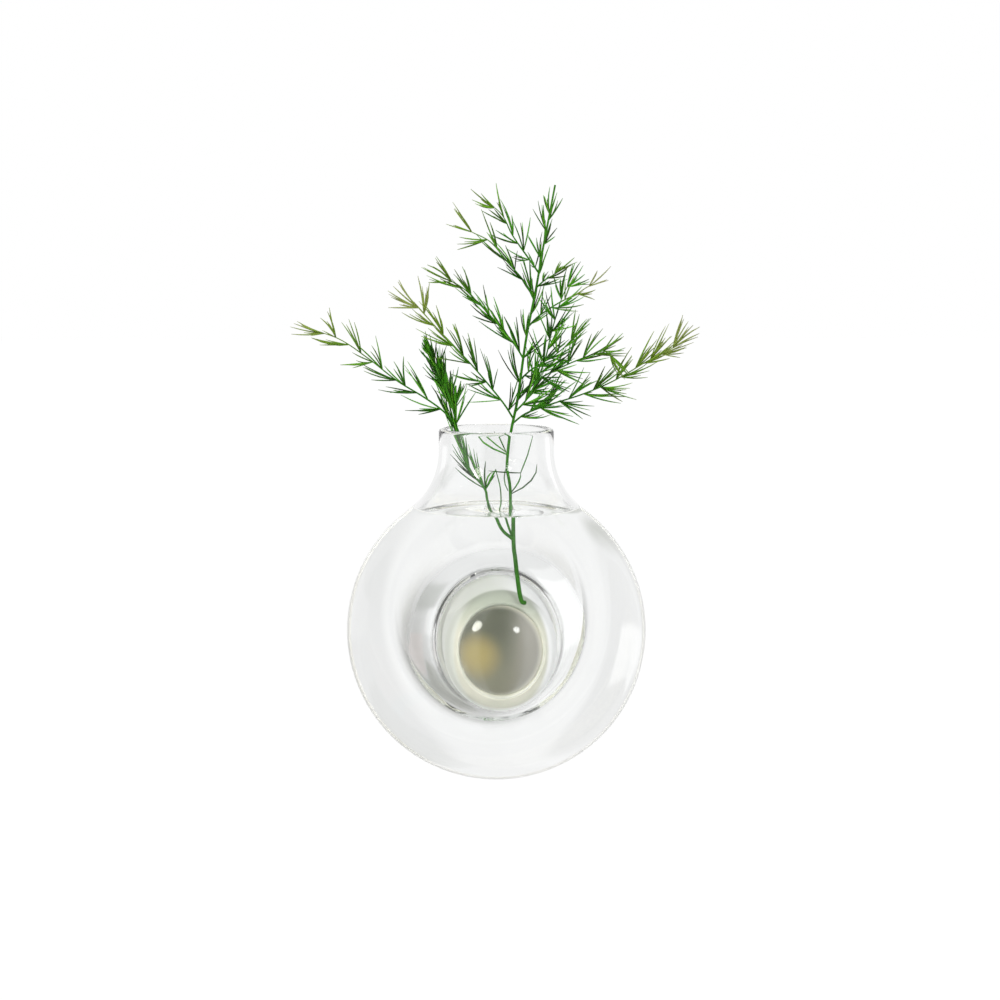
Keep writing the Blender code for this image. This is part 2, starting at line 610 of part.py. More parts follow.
def build_sprig(pivot):
    """Two stems and the fronds that grow from them, all parented to the sprig's pivot."""
    stem_green = material("stem_green", (0.03, 0.2, 0.05), 0.5)
    needle_green = material("needle_green", (0.06, 0.22, 0.05), 0.55)
    main = smooth_route(MAIN_STEM, ROUTE_STEP)
    side = seated(smooth_route(SIDE_STEM, ROUTE_STEP), SIDE_STEM_R, main, STEM_FOOT_R, STEM_TIP_R)
    build_stem("main_stem", main, STEM_FOOT_R, STEM_TIP_R, MAIN_CLUSTERS, made=stem_green, pivot=pivot)
    build_stem("side_stem", side, SIDE_STEM_R, FROND_R, SIDE_CLUSTERS, made=stem_green, pivot=pivot)
    parents = {
        "main_stem": (main, STEM_FOOT_R, STEM_TIP_R),
        "side_stem": (side, SIDE_STEM_R, FROND_R),
    }
    for name, (parent, route, spacing, long, short) in FRONDS.items():
        build_frond(name, parents[parent], route, spacing, long, short, needle_green, pivot)


def main():
    for obj in list(bpy.data.objects):
        bpy.data.objects.remove(obj)
    build_grip_pad()
    build_magnet_cup()
    build_ring_magnet()
    build_fixing_screw()
    build_peg()
    sleeve_pivot = add_pivot("sleeve_pivot", (0, -SLEEVE_RIB_AT, 0))
    build_sleeve(sleeve_pivot)
    build_nose_cap(sleeve_pivot)
    vase_pivot = add_pivot("vase_pivot", (0, -POCKET_BARREL_END, 0), sleeve_pivot)
    build_vessel(vase_pivot)
    sprig_pivot = add_pivot("sprig_pivot", (BULB_C.x, BULB_C.y, RIM_Z), vase_pivot)
    build_sprig(sprig_pivot)


main()
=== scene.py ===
import json
import math

import bmesh
import bpy
import numpy as np
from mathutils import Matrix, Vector

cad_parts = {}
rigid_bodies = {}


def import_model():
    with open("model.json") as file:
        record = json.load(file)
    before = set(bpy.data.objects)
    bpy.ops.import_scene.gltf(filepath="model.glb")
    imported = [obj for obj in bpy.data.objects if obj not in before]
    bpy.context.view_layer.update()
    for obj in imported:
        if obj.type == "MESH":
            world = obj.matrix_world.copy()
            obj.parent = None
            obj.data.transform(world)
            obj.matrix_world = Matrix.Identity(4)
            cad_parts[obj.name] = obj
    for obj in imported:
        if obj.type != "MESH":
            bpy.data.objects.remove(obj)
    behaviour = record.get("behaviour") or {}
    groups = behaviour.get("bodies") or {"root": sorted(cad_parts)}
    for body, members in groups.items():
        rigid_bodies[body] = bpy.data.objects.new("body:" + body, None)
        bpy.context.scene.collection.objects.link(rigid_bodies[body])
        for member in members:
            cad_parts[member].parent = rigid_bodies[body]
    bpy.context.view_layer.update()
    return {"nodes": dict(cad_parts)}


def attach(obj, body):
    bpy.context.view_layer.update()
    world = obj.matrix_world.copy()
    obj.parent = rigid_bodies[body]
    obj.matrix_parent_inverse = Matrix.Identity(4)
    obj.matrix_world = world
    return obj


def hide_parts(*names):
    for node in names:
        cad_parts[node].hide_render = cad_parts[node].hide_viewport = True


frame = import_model()


# The vase: a sphere with a short neck, blown in clear glass, its rim melted round in the flame. A pocket was
# pushed in from the wall side while the glass was soft, so its mouth flows into the sphere.
# Lengths are in millimetres. The wall is the plane y = 0, and the pocket's axis is the line x = z = 0.
BULB = np.array([-1.2, -46.0, 5.2])
BULB_R, GLASS_T = 45.0, 1.6
NECK_R, NECK_T, NECK_FILLET_R = 17.25, 2.2, 22.0
RIM_Z = BULB[2] + 60.9
POCKET_R, POCKET_GLASS_T, POCKET_END, DOME_RISE = 10.8, 1.3, 38.3, 6.6
POCKET_TALL = 1.11
FLARE_R, FLARE_AT, LIP_R = 22.0, 19.5, 3.2
SEAM_ANGLE = math.radians(37)

# How finely the glass is divided: all round, along the sphere and the rim, and along the pocket's dome,
# barrel, flare and lip and the last of the sphere
COLUMNS, SPHERE_ROWS, RIM_ROWS = 288, 72, 13
POCKET_ROWS = (20, 14, 18, 10, 7)


def make_piece(name, points, faces, body, replaced=(), slot=None):
    """An object from points in millimetres and arrays of faces, each (count, corners) of point numbers."""
    mesh = bpy.data.meshes.new(name)
    corners = np.concatenate([f.ravel() for f in faces])
    sizes = np.concatenate([np.full(len(f), f.shape[1]) for f in faces])
    mesh.vertices.add(len(points))
    mesh.vertices.foreach_set("co", (np.asarray(points) * 0.001).ravel())
    mesh.loops.add(len(corners))
    mesh.loops.foreach_set("vertex_index", corners.astype(np.int32))
    mesh.polygons.add(len(sizes))
    mesh.polygons.foreach_set("loop_start", (np.cumsum(sizes) - sizes).astype(np.int32))
    mesh.update(calc_edges=True)
    mesh.validate()
    whole = bmesh.new()
    whole.from_mesh(mesh)
    bmesh.ops.recalc_face_normals(whole, faces=whole.faces)
    whole.to_mesh(mesh)
    whole.free()
    mesh.shade_smooth()
    piece = bpy.data.objects.new(name, mesh)
    bpy.context.scene.collection.objects.link(piece)
    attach(piece, body)
    if replaced:
        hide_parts(*replaced)
    return piece


def ring_faces(rows, columns, closed=False):
    """Quads between neighbouring rings of a grid whose columns run round.

    A closed grid has them between its last ring and its first too.
    """
    at = np.arange(rows * columns).reshape(rows, columns)
    after = np.roll(at, -1, axis=0)
    if not closed:
        at, after = at[:-1], after[:-1]
    return np.stack([at, np.roll(at, -1, 1), np.roll(after, -1, 1), after], axis=-1).reshape(-1, 4)


def pole_faces(ring_start, columns, pole):
    """Triangles from one ring, given by its first point's number, to a pole."""
    at = ring_start + np.arange(columns)
    return np.stack([at, np.roll(at, -1), np.full(columns, pole)], axis=-1)


def capped(rings, poles):
    """Points and faces of rings (rows, columns, 3) whose first and last ring each close on a pole."""
    rows, columns = rings.shape[:2]
    count = rows * columns
    faces = [
        ring_faces(rows, columns),
        pole_faces(0, columns, count),
        pole_faces(count - columns, columns, count + 1),
    ]
    return np.concatenate([rings.reshape(-1, 3), poles]), faces


def sphere_directions(rows):
    """Unit directions (rows, columns, 3) from the sphere's middle, from round the pocket to round the neck.

    Seen from the sphere's lowest point both circles lie in a plane, at w = (x + iy) / (1 + z). The map
    (w - ia) / (w - ib) makes them concentric, where a and b mirror each other in both circles. Rows are the
    rings of that picture and columns are its rays, so they leave both circles squarely.
    """
    pocket_angle = math.acos(-BULB[2] / BULB_R)
    near, far = math.tan((pocket_angle - SEAM_ANGLE) / 2), math.tan((pocket_angle + SEAM_ANGLE) / 2)
    middle, pocket_r, neck_r = (near + far) / 2, (far - near) / 2, math.tan(SEAM_ANGLE / 2)
    total = (neck_r**2 + middle**2 - pocket_r**2) / middle
    a = (total - math.sqrt(total**2 - 4 * neck_r**2)) / 2
    b = total - a
    turn = 2 * np.pi * np.arange(COLUMNS) / COLUMNS
    w = neck_r * np.exp(1j * turn)
    ray = (w - 1j * a) / (w - 1j * b)
    ring = np.geomspace(abs((near - a) / (near - b)), abs(ray[0]), rows)[:, None]
    spread = ring * (ray / abs(ray))[None, :]
    w = 1j * (a - b * spread) / (1 - spread)
    size = np.abs(w) ** 2
    return np.stack([2 * w.real, 2 * w.imag, 1 - size], axis=-1) / (1 + size)[..., None]


def tall(turn):
    """How far an ellipse POCKET_TALL times as high as wide lies from its middle, over its half width."""
    return 1 / np.sqrt(np.cos(turn) ** 2 + (np.sin(turn) / POCKET_TALL) ** 2)


def pocket_rings(grown, sphere_r, lip_r, ends):
    """Rings (rows, columns, 3) from the pocket's dome to the sphere, grown by some way into the glass.

    Each column is an outline of radius and distance from the wall: a quarter ellipse, a straight barrel, an
    arc that flares, an arc inside both the flare's circle and the sphere's that rounds the lip, and the
    sphere itself.
    """
    turn = np.arctan2(ends[:, 2], ends[:, 0])
    barrel_r, flare_r = POCKET_R * tall(turn) + grown, FLARE_R - grown
    flare = np.stack([POCKET_R * tall(turn) + FLARE_R, np.full(COLUMNS, FLARE_AT)])
    ball = np.stack([BULB[0] * np.cos(turn) + BULB[2] * np.sin(turn), np.full(COLUMNS, -BULB[1])])
    ball_r = np.sqrt(sphere_r**2 - (BULB[2] * np.cos(turn) - BULB[0] * np.sin(turn)) ** 2)
    apart = np.linalg.norm(ball - flare, axis=0)
    toward = (ball - flare) / apart
    along = ((flare_r - lip_r) ** 2 - (ball_r - lip_r) ** 2 + apart**2) / (2 * apart)
    aside = np.sqrt((flare_r - lip_r) ** 2 - along**2)
    lip = flare + along * toward + aside * np.stack([-toward[1], toward[0]])
    end = np.stack([np.hypot(ends[:, 0], ends[:, 2]), -ends[:, 1]])

    def angle(v):
        return np.mod(np.arctan2(v[1], v[0]), 2 * np.pi)

    def arc(centre, radius, start, stop, count):
        step = np.linspace(0, 1, count + 1)[1:, None]
        at = start + (stop - start) * step
        return np.stack([centre[0] + radius * np.cos(at), centre[1] + radius * np.sin(at)])

    dome_rows, barrel_rows, flare_rows, lip_rows, ball_rows = POCKET_ROWS
    quarter = np.linspace(0, np.pi / 2, dome_rows + 1)[1:, None] * np.ones(COLUMNS)
    dome = np.stack([barrel_r * np.sin(quarter), POCKET_END + (DOME_RISE + grown) * np.cos(quarter)])
    barrel_h = np.linspace(POCKET_END, FLARE_AT, barrel_rows + 1)[1:, None] * np.ones(COLUMNS)
    barrel = np.stack([np.ones_like(barrel_h) * barrel_r, barrel_h])
    outline = np.concatenate([
        dome,
        barrel,
        arc(flare, flare_r, np.pi, angle(lip - flare), flare_rows),
        arc(lip, lip_r, angle(lip - flare), angle(lip - ball), lip_rows),
        arc(ball, ball_r, angle(lip - ball), angle(end - ball), ball_rows)[:, :-1],
    ], axis=1)
    return np.stack([outline[0] * np.cos(turn), -outline[1], outline[0] * np.sin(turn)], axis=-1)


def neck_outline(sphere_r, neck_r, fillet_r, steps=14):
    """Radius and height above the sphere's middle: the sphere's last bit, then the fillet up to the neck."""
    foot = math.sqrt((sphere_r + fillet_r) ** 2 - (neck_r + fillet_r) ** 2)
    seam = math.atan2(foot, neck_r + fillet_r)
    ball = np.linspace(np.pi / 2 - SEAM_ANGLE, seam, 3)[1:]
    bend = np.linspace(np.pi + seam, np.pi, steps + 1)[1:]
    return np.concatenate([
        np.stack([sphere_r * np.cos(ball), sphere_r * np.sin(ball)], axis=-1),
        np.stack([neck_r + fillet_r + fillet_r * np.cos(bend), foot + fillet_r * np.sin(bend)], axis=-1),
    ])


def about_neck(outline):
    """Rings (rows, columns, 3) about the neck's axis, from radii and heights above the sphere's middle."""
    turn = 2 * np.pi * np.arange(COLUMNS) / COLUMNS
    radius, height = outline[:, :1], outline[:, 1:]
    ones = np.ones(COLUMNS)
    return BULB + np.stack([radius * np.cos(turn), radius * np.sin(turn), height * ones], axis=-1)


between = sphere_directions(SPHERE_ROWS)
inner_r, inner_neck_r = BULB_R - GLASS_T, NECK_R - NECK_T
rim_r = NECK_T / 2
rim_turn = np.linspace(0, np.pi, RIM_ROWS)
rim = np.stack([
    NECK_R - rim_r + rim_r * np.cos(rim_turn),
    RIM_Z - BULB[2] - rim_r + rim_r * np.sin(rim_turn)], axis=-1)
outside = [
    pocket_rings(0, BULB_R, LIP_R, BULB + BULB_R * between[0]),
    BULB + BULB_R * between,
    about_neck(neck_outline(BULB_R, NECK_R, NECK_FILLET_R)),
]
inside = [
    pocket_rings(POCKET_GLASS_T, inner_r, LIP_R - POCKET_GLASS_T, BULB + inner_r * between[0]),
    BULB + inner_r * between,
    about_neck(neck_outline(inner_r, inner_neck_r, NECK_FILLET_R + GLASS_T)),
]
rings = np.concatenate(outside + [about_neck(rim)] + [np.concatenate(inside)[::-1]])
poles = [(0, -POCKET_END - DOME_RISE, 0), (0, -POCKET_END - DOME_RISE - POCKET_GLASS_T, 0)]
vase = make_piece("blown_vase", *capped(rings, poles), "vase", ["glass_vessel"], "clear_glass")

# The inside of the glass has a second finish up to the edge of the water
WATER_Z, CREEP = BULB[2] + 35.7, 0.6
middles = np.empty(3 * len(vase.data.polygons), dtype=np.float32)
vase.data.polygons.foreach_get("center", middles)
is_inside = np.arange(len(vase.data.polygons)) >= COLUMNS * (sum(map(len, outside)) + len(rim))
is_inside[-2 * COLUMNS:-COLUMNS] = False
wet = is_inside & (middles[2::3] * 1000 < WATER_Z + CREEP)
vase.data.polygons.foreach_set("material_index", wet.astype(np.int32))


class Socket:
    """A node's output. Arithmetic on it adds Math nodes."""

    def __init__(self, finish, output):
        self.finish, self.output = finish, output

    def math(self, operation, *values):
        return self.finish.add("ShaderNodeMath", {"operation": operation}, dict(enumerate(values)))

    def __add__(self, other):
        return self.math("ADD", self, other)

    def __sub__(self, other):
        return self.math("SUBTRACT", self, other)

    def __rsub__(self, other):
        return self.math("SUBTRACT", other, self)

    def __mul__(self, other):
        return self.math("MULTIPLY", self, other)

    def __truediv__(self, other):
        return self.math("DIVIDE", self, other)

    def __pow__(self, other):
        return self.math("POWER", self, other)

    __radd__, __rmul__ = __add__, __mul__


class Finish:
    """The nodes of one material, or of the room."""

    def __init__(self, name, owner=None):
        self.made = owner or bpy.data.materials.new(name)
        self.made.use_nodes = True
        self.tree = self.made.node_tree
        self.tree.nodes.clear()

    def add(self, kind, settings=None, sockets=None, output=0):
        """A node of some kind: first its settings, a ramp's stops too, then its sockets' values or links."""
        node = self.tree.nodes.new(kind)
        for key, value in (settings or {}).items():
            if key == "stops":
                while len(node.color_ramp.elements) < len(value):
                    node.color_ramp.elements.new(0.5)
                for element, (place, colour) in zip(node.color_ramp.elements, value):
                    element.position, element.color = place, (*colour, 1)
            else:
                setattr(node, key, value)
        for key, value in (sockets or {}).items():
            if isinstance(value, Socket):
                self.tree.links.new(value.output, node.inputs[key])
            else:
                node.inputs[key].default_value = value
        return Socket(self, node.outputs[output]) if node.outputs else None

    def mix(self, share, first, second):
        """A colour between two."""
        return self.add("ShaderNodeMix", {"data_type": "RGBA"}, {0: share, 6: first, 7: second}, 2)

    def band(self, value, start, stop):
        """0 to 1 as the value goes from start to stop, softly."""
        return self.add("ShaderNodeMapRange", {"interpolation_type": "SMOOTHSTEP"},
                        {"Value": value, "From Min": start, "From Max": stop})

    def place(self):
        """Object coordinates, which a finished piece has in metres."""
        return self.add("ShaderNodeTexCoord", output="Object")

    def parts(self, vector):
        """A vector's x, y and z."""
        return [self.add("ShaderNodeSeparateXYZ", sockets={0: vector}, output=k) for k in range(3)]

    def cloud(self, scale, detail):
        """Soft noise on the piece, with so many waves to the metre."""
        sockets = {"Vector": self.place(), "Scale": scale, "Detail": detail}
        return self.add("ShaderNodeTexNoise", sockets=sockets)

    def bump(self, height, distance, strength=1.0):
        """Small heights in the surface, of the given distance in metres."""
        sockets = {"Height": height, "Distance": distance, "Strength": strength}
        return self.add("ShaderNodeBump", sockets=sockets)

    def close(self, shader, kind="ShaderNodeOutputMaterial"):
        self.add(kind, sockets={"Surface": shader})
        return self.made


# The crescent of painted shade in the glass round the pocket's mouth, deepest at its lower left: how far from
# the pocket's axis it begins and ends and how deep it lies, in metres, the way to its middle, and how it
# fades along the mouth from there
PAINTED_SHADE = (0.5, 0.5, 0.48)
PAINTED_SHADE_BEGINS, PAINTED_SHADE_ENDS, PAINTED_SHADE_DEPTH = (0.0129, 0.0141), (0.0161, 0.0145), (-0.034, -0.026)
PAINTED_SHADE_WAY, PAINTED_SHADE_FADE = (-0.78, -0.62), (-0.1, 1.15)
CLEAR_SHADE = (0.93, 0.935, 0.935, 1)


def clear_finish(name, ior, colour, ripple, painted_shade=None):
    """Clear glass or water, with ripples of the given length and height in metres.

    Light that only lights what is inside goes straight through, with a little loss. Painted shade, if given,
    is the colour of the dark crescent painted round the pocket's mouth, where it stands in for shade.
    """
    finish = Finish(name)
    # Painted shade: the glass's colour turns grey in a crescent round the pocket's mouth
    if painted_shade:
        x, y, z = finish.parts(finish.place())
        reach = ((x * x) + (z * z)) ** 0.5
        ring = finish.band(reach, *PAINTED_SHADE_BEGINS) * finish.band(reach, *PAINTED_SHADE_ENDS)
        aside = (x * PAINTED_SHADE_WAY[0] + z * PAINTED_SHADE_WAY[1]) / reach
        deep = finish.band(aside, *PAINTED_SHADE_FADE) * finish.band(y, *PAINTED_SHADE_DEPTH)
        colour = finish.mix(ring * deep, colour, (*painted_shade, 1))
    length, height = ripple
    bump = finish.bump(finish.cloud(1 / length, 1.0), height)
    clear = finish.add("ShaderNodeBsdfPrincipled", sockets={
        "Base Color": colour, "Roughness": 0.0, "IOR": ior, "Transmission Weight": 1.0, "Normal": bump})
    straight = finish.add("ShaderNodeBsdfTransparent", sockets={"Color": CLEAR_SHADE})
    is_shadow = finish.add("ShaderNodeLightPath", output="Is Shadow Ray")
    is_diffuse = finish.add("ShaderNodeLightPath", output="Is Diffuse Ray")
    through = is_shadow.math("MAXIMUM", is_shadow, is_diffuse)
    return finish.close(finish.add("ShaderNodeMixShader", sockets={0: through, 1: clear, 2: straight}))


GLASS_IOR, WATER_IOR = 1.5, 1.333
GLASS_RIPPLE, WATER_RIPPLE = (0.03, 0.00004), (0.05, 0.00001)
# Both faces of the glass carry the crescent of painted shade
vase.data.materials.append(clear_finish(
    "blown_glass", GLASS_IOR, (0.99, 0.995, 0.993, 1), GLASS_RIPPLE, PAINTED_SHADE))
vase.data.materials.append(clear_finish(
    "wet_glass", GLASS_IOR / WATER_IOR, (0.995, 1.0, 0.998, 1), GLASS_RIPPLE, PAINTED_SHADE))


# The water in the vase: it fills the sphere up to the foot of the neck and creeps up a little at the glass
# and at the stems. Only its skin bends light here, because the wet faces of the glass do so for its walls.
WATER_OFF = 0.02
CREEP_REACH, STEM_CREEP, STEM_REACH, WET_STEM_R = 1.2, 2.6, 0.8, 0.7
STEMS_AT_WATER = np.array([[2.5, -46.0], [-3.4, -47.7]])
SIDE_STEPS, TOP_ROWS, TOP_CROWDING = 60, 70, 1.6

water_r = inner_r - WATER_OFF
water_fillet_r = NECK_FILLET_R + GLASS_T + WATER_OFF
side = neck_outline(water_r, inner_neck_r - WATER_OFF, water_fillet_r, SIDE_STEPS)
contact = WATER_Z - BULB[2] + CREEP
side = side[side[:, 1] < contact]
edge_r = np.interp(contact, [side[-2, 1], side[-1, 1]], [side[-2, 0], side[-1, 0]])
top_r = edge_r * (1 - np.linspace(0, 1, TOP_ROWS) ** TOP_CROWDING)[:-1]
top = np.stack([top_r, contact - CREEP + CREEP * np.exp((top_r - edge_r) / CREEP_REACH)], axis=-1)
surface = about_neck(top)
for stem in STEMS_AT_WATER:
    away = np.linalg.norm(surface[..., :2] - stem, axis=-1)
    surface[..., 2] += STEM_CREEP * np.exp(-(np.maximum(away - WET_STEM_R, 0) / STEM_REACH) ** 1.5)
water_lip_r = LIP_R - POCKET_GLASS_T - WATER_OFF
walls = np.concatenate([
    pocket_rings(POCKET_GLASS_T + WATER_OFF, water_r, water_lip_r, BULB + water_r * between[0]),
    BULB + water_r * between,
    about_neck(side),
])
rings = np.concatenate([walls, surface])
poles = [(0, -POCKET_END - DOME_RISE - POCKET_GLASS_T - WATER_OFF, 0), (BULB[0], BULB[1], WATER_Z)]
water = make_piece("water", *capped(rings, poles), "vase")
is_wall = np.arange(len(water.data.polygons)) < COLUMNS * (len(walls) - 1)
is_wall[-2 * COLUMNS:-COLUMNS] = True
water.data.polygons.foreach_set("material_index", is_wall.astype(np.int32))
water.data.materials.append(clear_finish("water_skin", WATER_IOR, (0.997, 1.0, 0.999, 1), WATER_RIPPLE))
finish = Finish("water_walls")
bare = finish.add("ShaderNodeBsdfTransparent", sockets={"Color": (1, 1, 1, 1)})
water.data.materials.append(finish.close(bare))


# The holder, from the wall: a pale rubber pad, a white enamelled steel cup, its magnet and a cream plastic
# peg. A soft cream sleeve turns on the peg, fills the pocket and ends in a cushion that presses on the glass.
# The glossy grey cap snaps on the peg's front and turns with the sleeve.
NOSE_R, NOSE_RISE, NOSE_SIDE, NOSE_TALL, NOSE_CROWN, LIP_TUCK = 9.45, 5.6, 2.0, 0.8, 0.6, 0.25
SLEEVE_GAP, CUSHION_SINK, CUSHION_LENGTH, CUSHION_SLOPE, CUSHION_END = 0.3, 0.12, 15.0, 1.5, 29.5
SLEEVE_IN_R, SLEEVE_OUT_R, SLEEVE_BACK, RIB_R = 9.6, 10.5, 21.0, 8.6
RIB_AT, RIB_HALF = 26.0, 1.5
EDGE_R, EDGE_BEVEL = 0.3, 0.2
SIDES = 144


def turned(name, outline, body, replaced, slot, tall_share=1.0):
    """A ring or solid turned about the pocket's axis from an outline of (radius, distance from the wall).

    Points with tall_share 1 follow the pocket's oval, and points with 0 a circle.
    """
    turn = 2 * np.pi * np.arange(SIDES) / SIDES
    outline = np.asarray(outline, dtype=float)
    stretch = 1 + (tall(turn) - 1) * np.broadcast_to(tall_share, len(outline))[:, None]
    radius = outline[:, :1] * stretch
    depth = -outline[:, 1:] * np.ones(SIDES)
    rings = np.stack([radius * np.cos(turn), depth, radius * np.sin(turn)], axis=-1)
    if outline[0, 0] > 0.01:
        points, faces = rings.reshape(-1, 3), [ring_faces(len(rings), SIDES, True)]
    else:
        points, faces = capped(rings[1:-1], [(0, -outline[0, 1], 0), (0, -outline[-1, 1], 0)])
    return make_piece(name, points, faces, body, replaced, slot)


def bow(centre_r, centre_h, half_r, half_h, start, stop, count):
    """Points on an ellipse's arc, as (radius, distance from the wall), with angles in degrees."""
    at = np.radians(np.linspace(start, stop, count))
    return np.stack([centre_r + half_r * np.cos(at), centre_h + half_h * np.sin(at)], axis=-1)


cap = turned("grey_cap", np.concatenate([
    [(0, POCKET_END), (NOSE_R - EDGE_R, POCKET_END), (NOSE_R, POCKET_END + EDGE_R)],
    bow(0, POCKET_END + NOSE_SIDE, NOSE_R, NOSE_RISE - NOSE_SIDE + NOSE_CROWN, 0, 90, 28)]),
    "sleeve", ["nose_cap"], "nose_gloss", NOSE_TALL)

cushion_r, cushion_back = POCKET_R + CUSHION_SINK, POCKET_END - CUSHION_LENGTH
rib_front, rib_back = RIB_AT + RIB_HALF - SLEEVE_GAP, RIB_AT - RIB_HALF + SLEEVE_GAP
sleeve = turned("cream_sleeve", np.concatenate([
    [(SLEEVE_IN_R, SLEEVE_BACK + EDGE_BEVEL), (SLEEVE_IN_R + EDGE_BEVEL, SLEEVE_BACK)],
    bow(SLEEVE_OUT_R - EDGE_R, SLEEVE_BACK + EDGE_R, EDGE_R, EDGE_R, -90, 0, 5),
    [(SLEEVE_OUT_R, cushion_back - CUSHION_SLOPE), (cushion_r, cushion_back)],
    bow(0, POCKET_END, cushion_r, DOME_RISE + CUSHION_SINK, 0, CUSHION_END, 14),
    [(NOSE_R - LIP_TUCK, POCKET_END + 3.0), (NOSE_R - LIP_TUCK, POCKET_END + EDGE_BEVEL),
     (SLEEVE_IN_R, POCKET_END - EDGE_BEVEL), (SLEEVE_IN_R, rib_front), (RIB_R, rib_front), (RIB_R, rib_back),
     (SLEEVE_IN_R, rib_back)]]),
    "sleeve", ["pocket_sleeve"], "sleeve_cream",
    np.concatenate([np.zeros(2), np.ones(5 + 2 + 14), np.full(2, NOSE_TALL), np.zeros(5)]))

PEG_R, PEG_FRONT, PEG_FOOT_R, FLANGE_R, FLANGE_T, FLANGE_EDGE = 9.3, 38.0, 0.6, 11.4, 1.7, 0.4
PAD_R, PAD_T, PAD_EDGE, CUP_R, CUP_WALL, CUP_FRONT, CUP_EDGE = 13.5, 0.8, 0.35, 12.5, 1.3, 5.7, 0.7
SCREW_HOLE_R, SCREW_HOLE_END, SPIGOT_R, SPIGOT_END = 2.2, 18.3, 4.0, 42.0
GROOVE_R, GROOVE_BEVEL = 8.0, 0.15

peg_back = CUP_FRONT + SLEEVE_GAP
flange_front = peg_back + FLANGE_T
groove_back, groove_front = RIB_AT - RIB_HALF, RIB_AT + RIB_HALF
peg = turned("cream_peg", np.concatenate([
    [(0, SCREW_HOLE_END), (SCREW_HOLE_R, SCREW_HOLE_END), (SCREW_HOLE_R, peg_back + EDGE_BEVEL),
     (SCREW_HOLE_R + EDGE_BEVEL, peg_back)],
    bow(FLANGE_R - FLANGE_EDGE, peg_back + FLANGE_EDGE, FLANGE_EDGE, FLANGE_EDGE, -90, 0, 5),
    bow(FLANGE_R - FLANGE_EDGE, flange_front - FLANGE_EDGE, FLANGE_EDGE, FLANGE_EDGE, 0, 90, 5),
    bow(PEG_R + PEG_FOOT_R, flange_front + PEG_FOOT_R, PEG_FOOT_R, PEG_FOOT_R, 270, 180, 6),
    [(PEG_R, groove_back - GROOVE_BEVEL), (PEG_R - GROOVE_BEVEL, groove_back), (GROOVE_R, groove_back),
     (GROOVE_R, groove_front), (PEG_R - GROOVE_BEVEL, groove_front), (PEG_R, groove_front + GROOVE_BEVEL)],
    bow(PEG_R - EDGE_R, PEG_FRONT - EDGE_R, EDGE_R, EDGE_R, 0, 90, 4),
    [(SPIGOT_R, PEG_FRONT), (SPIGOT_R, SPIGOT_END - EDGE_R), (SPIGOT_R - EDGE_R, SPIGOT_END),
     (0, SPIGOT_END)]]),
    "holder", ["peg"], "peg_plastic", 0.0)

CUP_FLOOR, CUP_IN_BEVEL, CUP_BACK_BEVEL = 4.5, 0.1, 0.15
cup_back, cup_in_r = PAD_T + SLEEVE_GAP, CUP_R - CUP_WALL
cup = turned("steel_cup", np.concatenate([
    [(cup_in_r, CUP_FLOOR), (cup_in_r, cup_back + CUP_IN_BEVEL), (cup_in_r + CUP_IN_BEVEL, cup_back),
     (CUP_R - CUP_BACK_BEVEL, cup_back), (CUP_R, cup_back + CUP_BACK_BEVEL)],
    bow(CUP_R - CUP_EDGE, CUP_FRONT - CUP_EDGE, CUP_EDGE, CUP_EDGE, 0, 90, 9),
    [(SCREW_HOLE_R, CUP_FRONT), (SCREW_HOLE_R, CUP_FLOOR)]]),
    "holder", ["magnet_cup"], "cup_steel", 0.0)

# The pad has round grooves in its back, where it grips the wall
PAD_ROWS, PAD_GROOVE_EVERY, PAD_GROOVE_DEPTH = 40, 5, 0.12
pad_rings = np.linspace(1.5, PAD_R - 1.0, PAD_ROWS)
pad_back = PAD_GROOVE_DEPTH * (np.mod(np.arange(PAD_ROWS), PAD_GROOVE_EVERY) == 2)
pad = turned("rubber_pad", np.concatenate([
    [(0, 0.0)], np.stack([pad_rings, pad_back], axis=-1), [(PAD_R - 0.25, 0.0), (PAD_R, 0.2)],
    bow(PAD_R - PAD_EDGE, PAD_T - PAD_EDGE, PAD_EDGE, PAD_EDGE, 0, 90, 6), [(0, PAD_T)]]),
    "holder", ["grip_pad"], "pad_rubber", 0.0)

# The sleeve's ring is cream inside an oval of this half width and half height and in front of its edge, with
# painted shade, darker and greener, towards its top. Its sides are painted as if lit: pale, most of all at
# the right, with painted shade at the left. Places are in metres.
RING_OVAL, RING_EDGE = (0.0098, 0.0126), (-0.038, -0.0365)
RING_TOP_PAINTED_SHADE_AT, RING_TOP_PAINTED_SHADE = (0.003, 0.0115), (0.4, 0.43, 0.36, 1)
SIDE_PAINTED_LIGHT_AT, SIDE_PAINTED_SHADE, SIDE_PAINTED_LIGHT = (-0.003, 0.006), (0.7, 0.72, 0.66, 1), (0.96, 0.96, 0.95, 1)


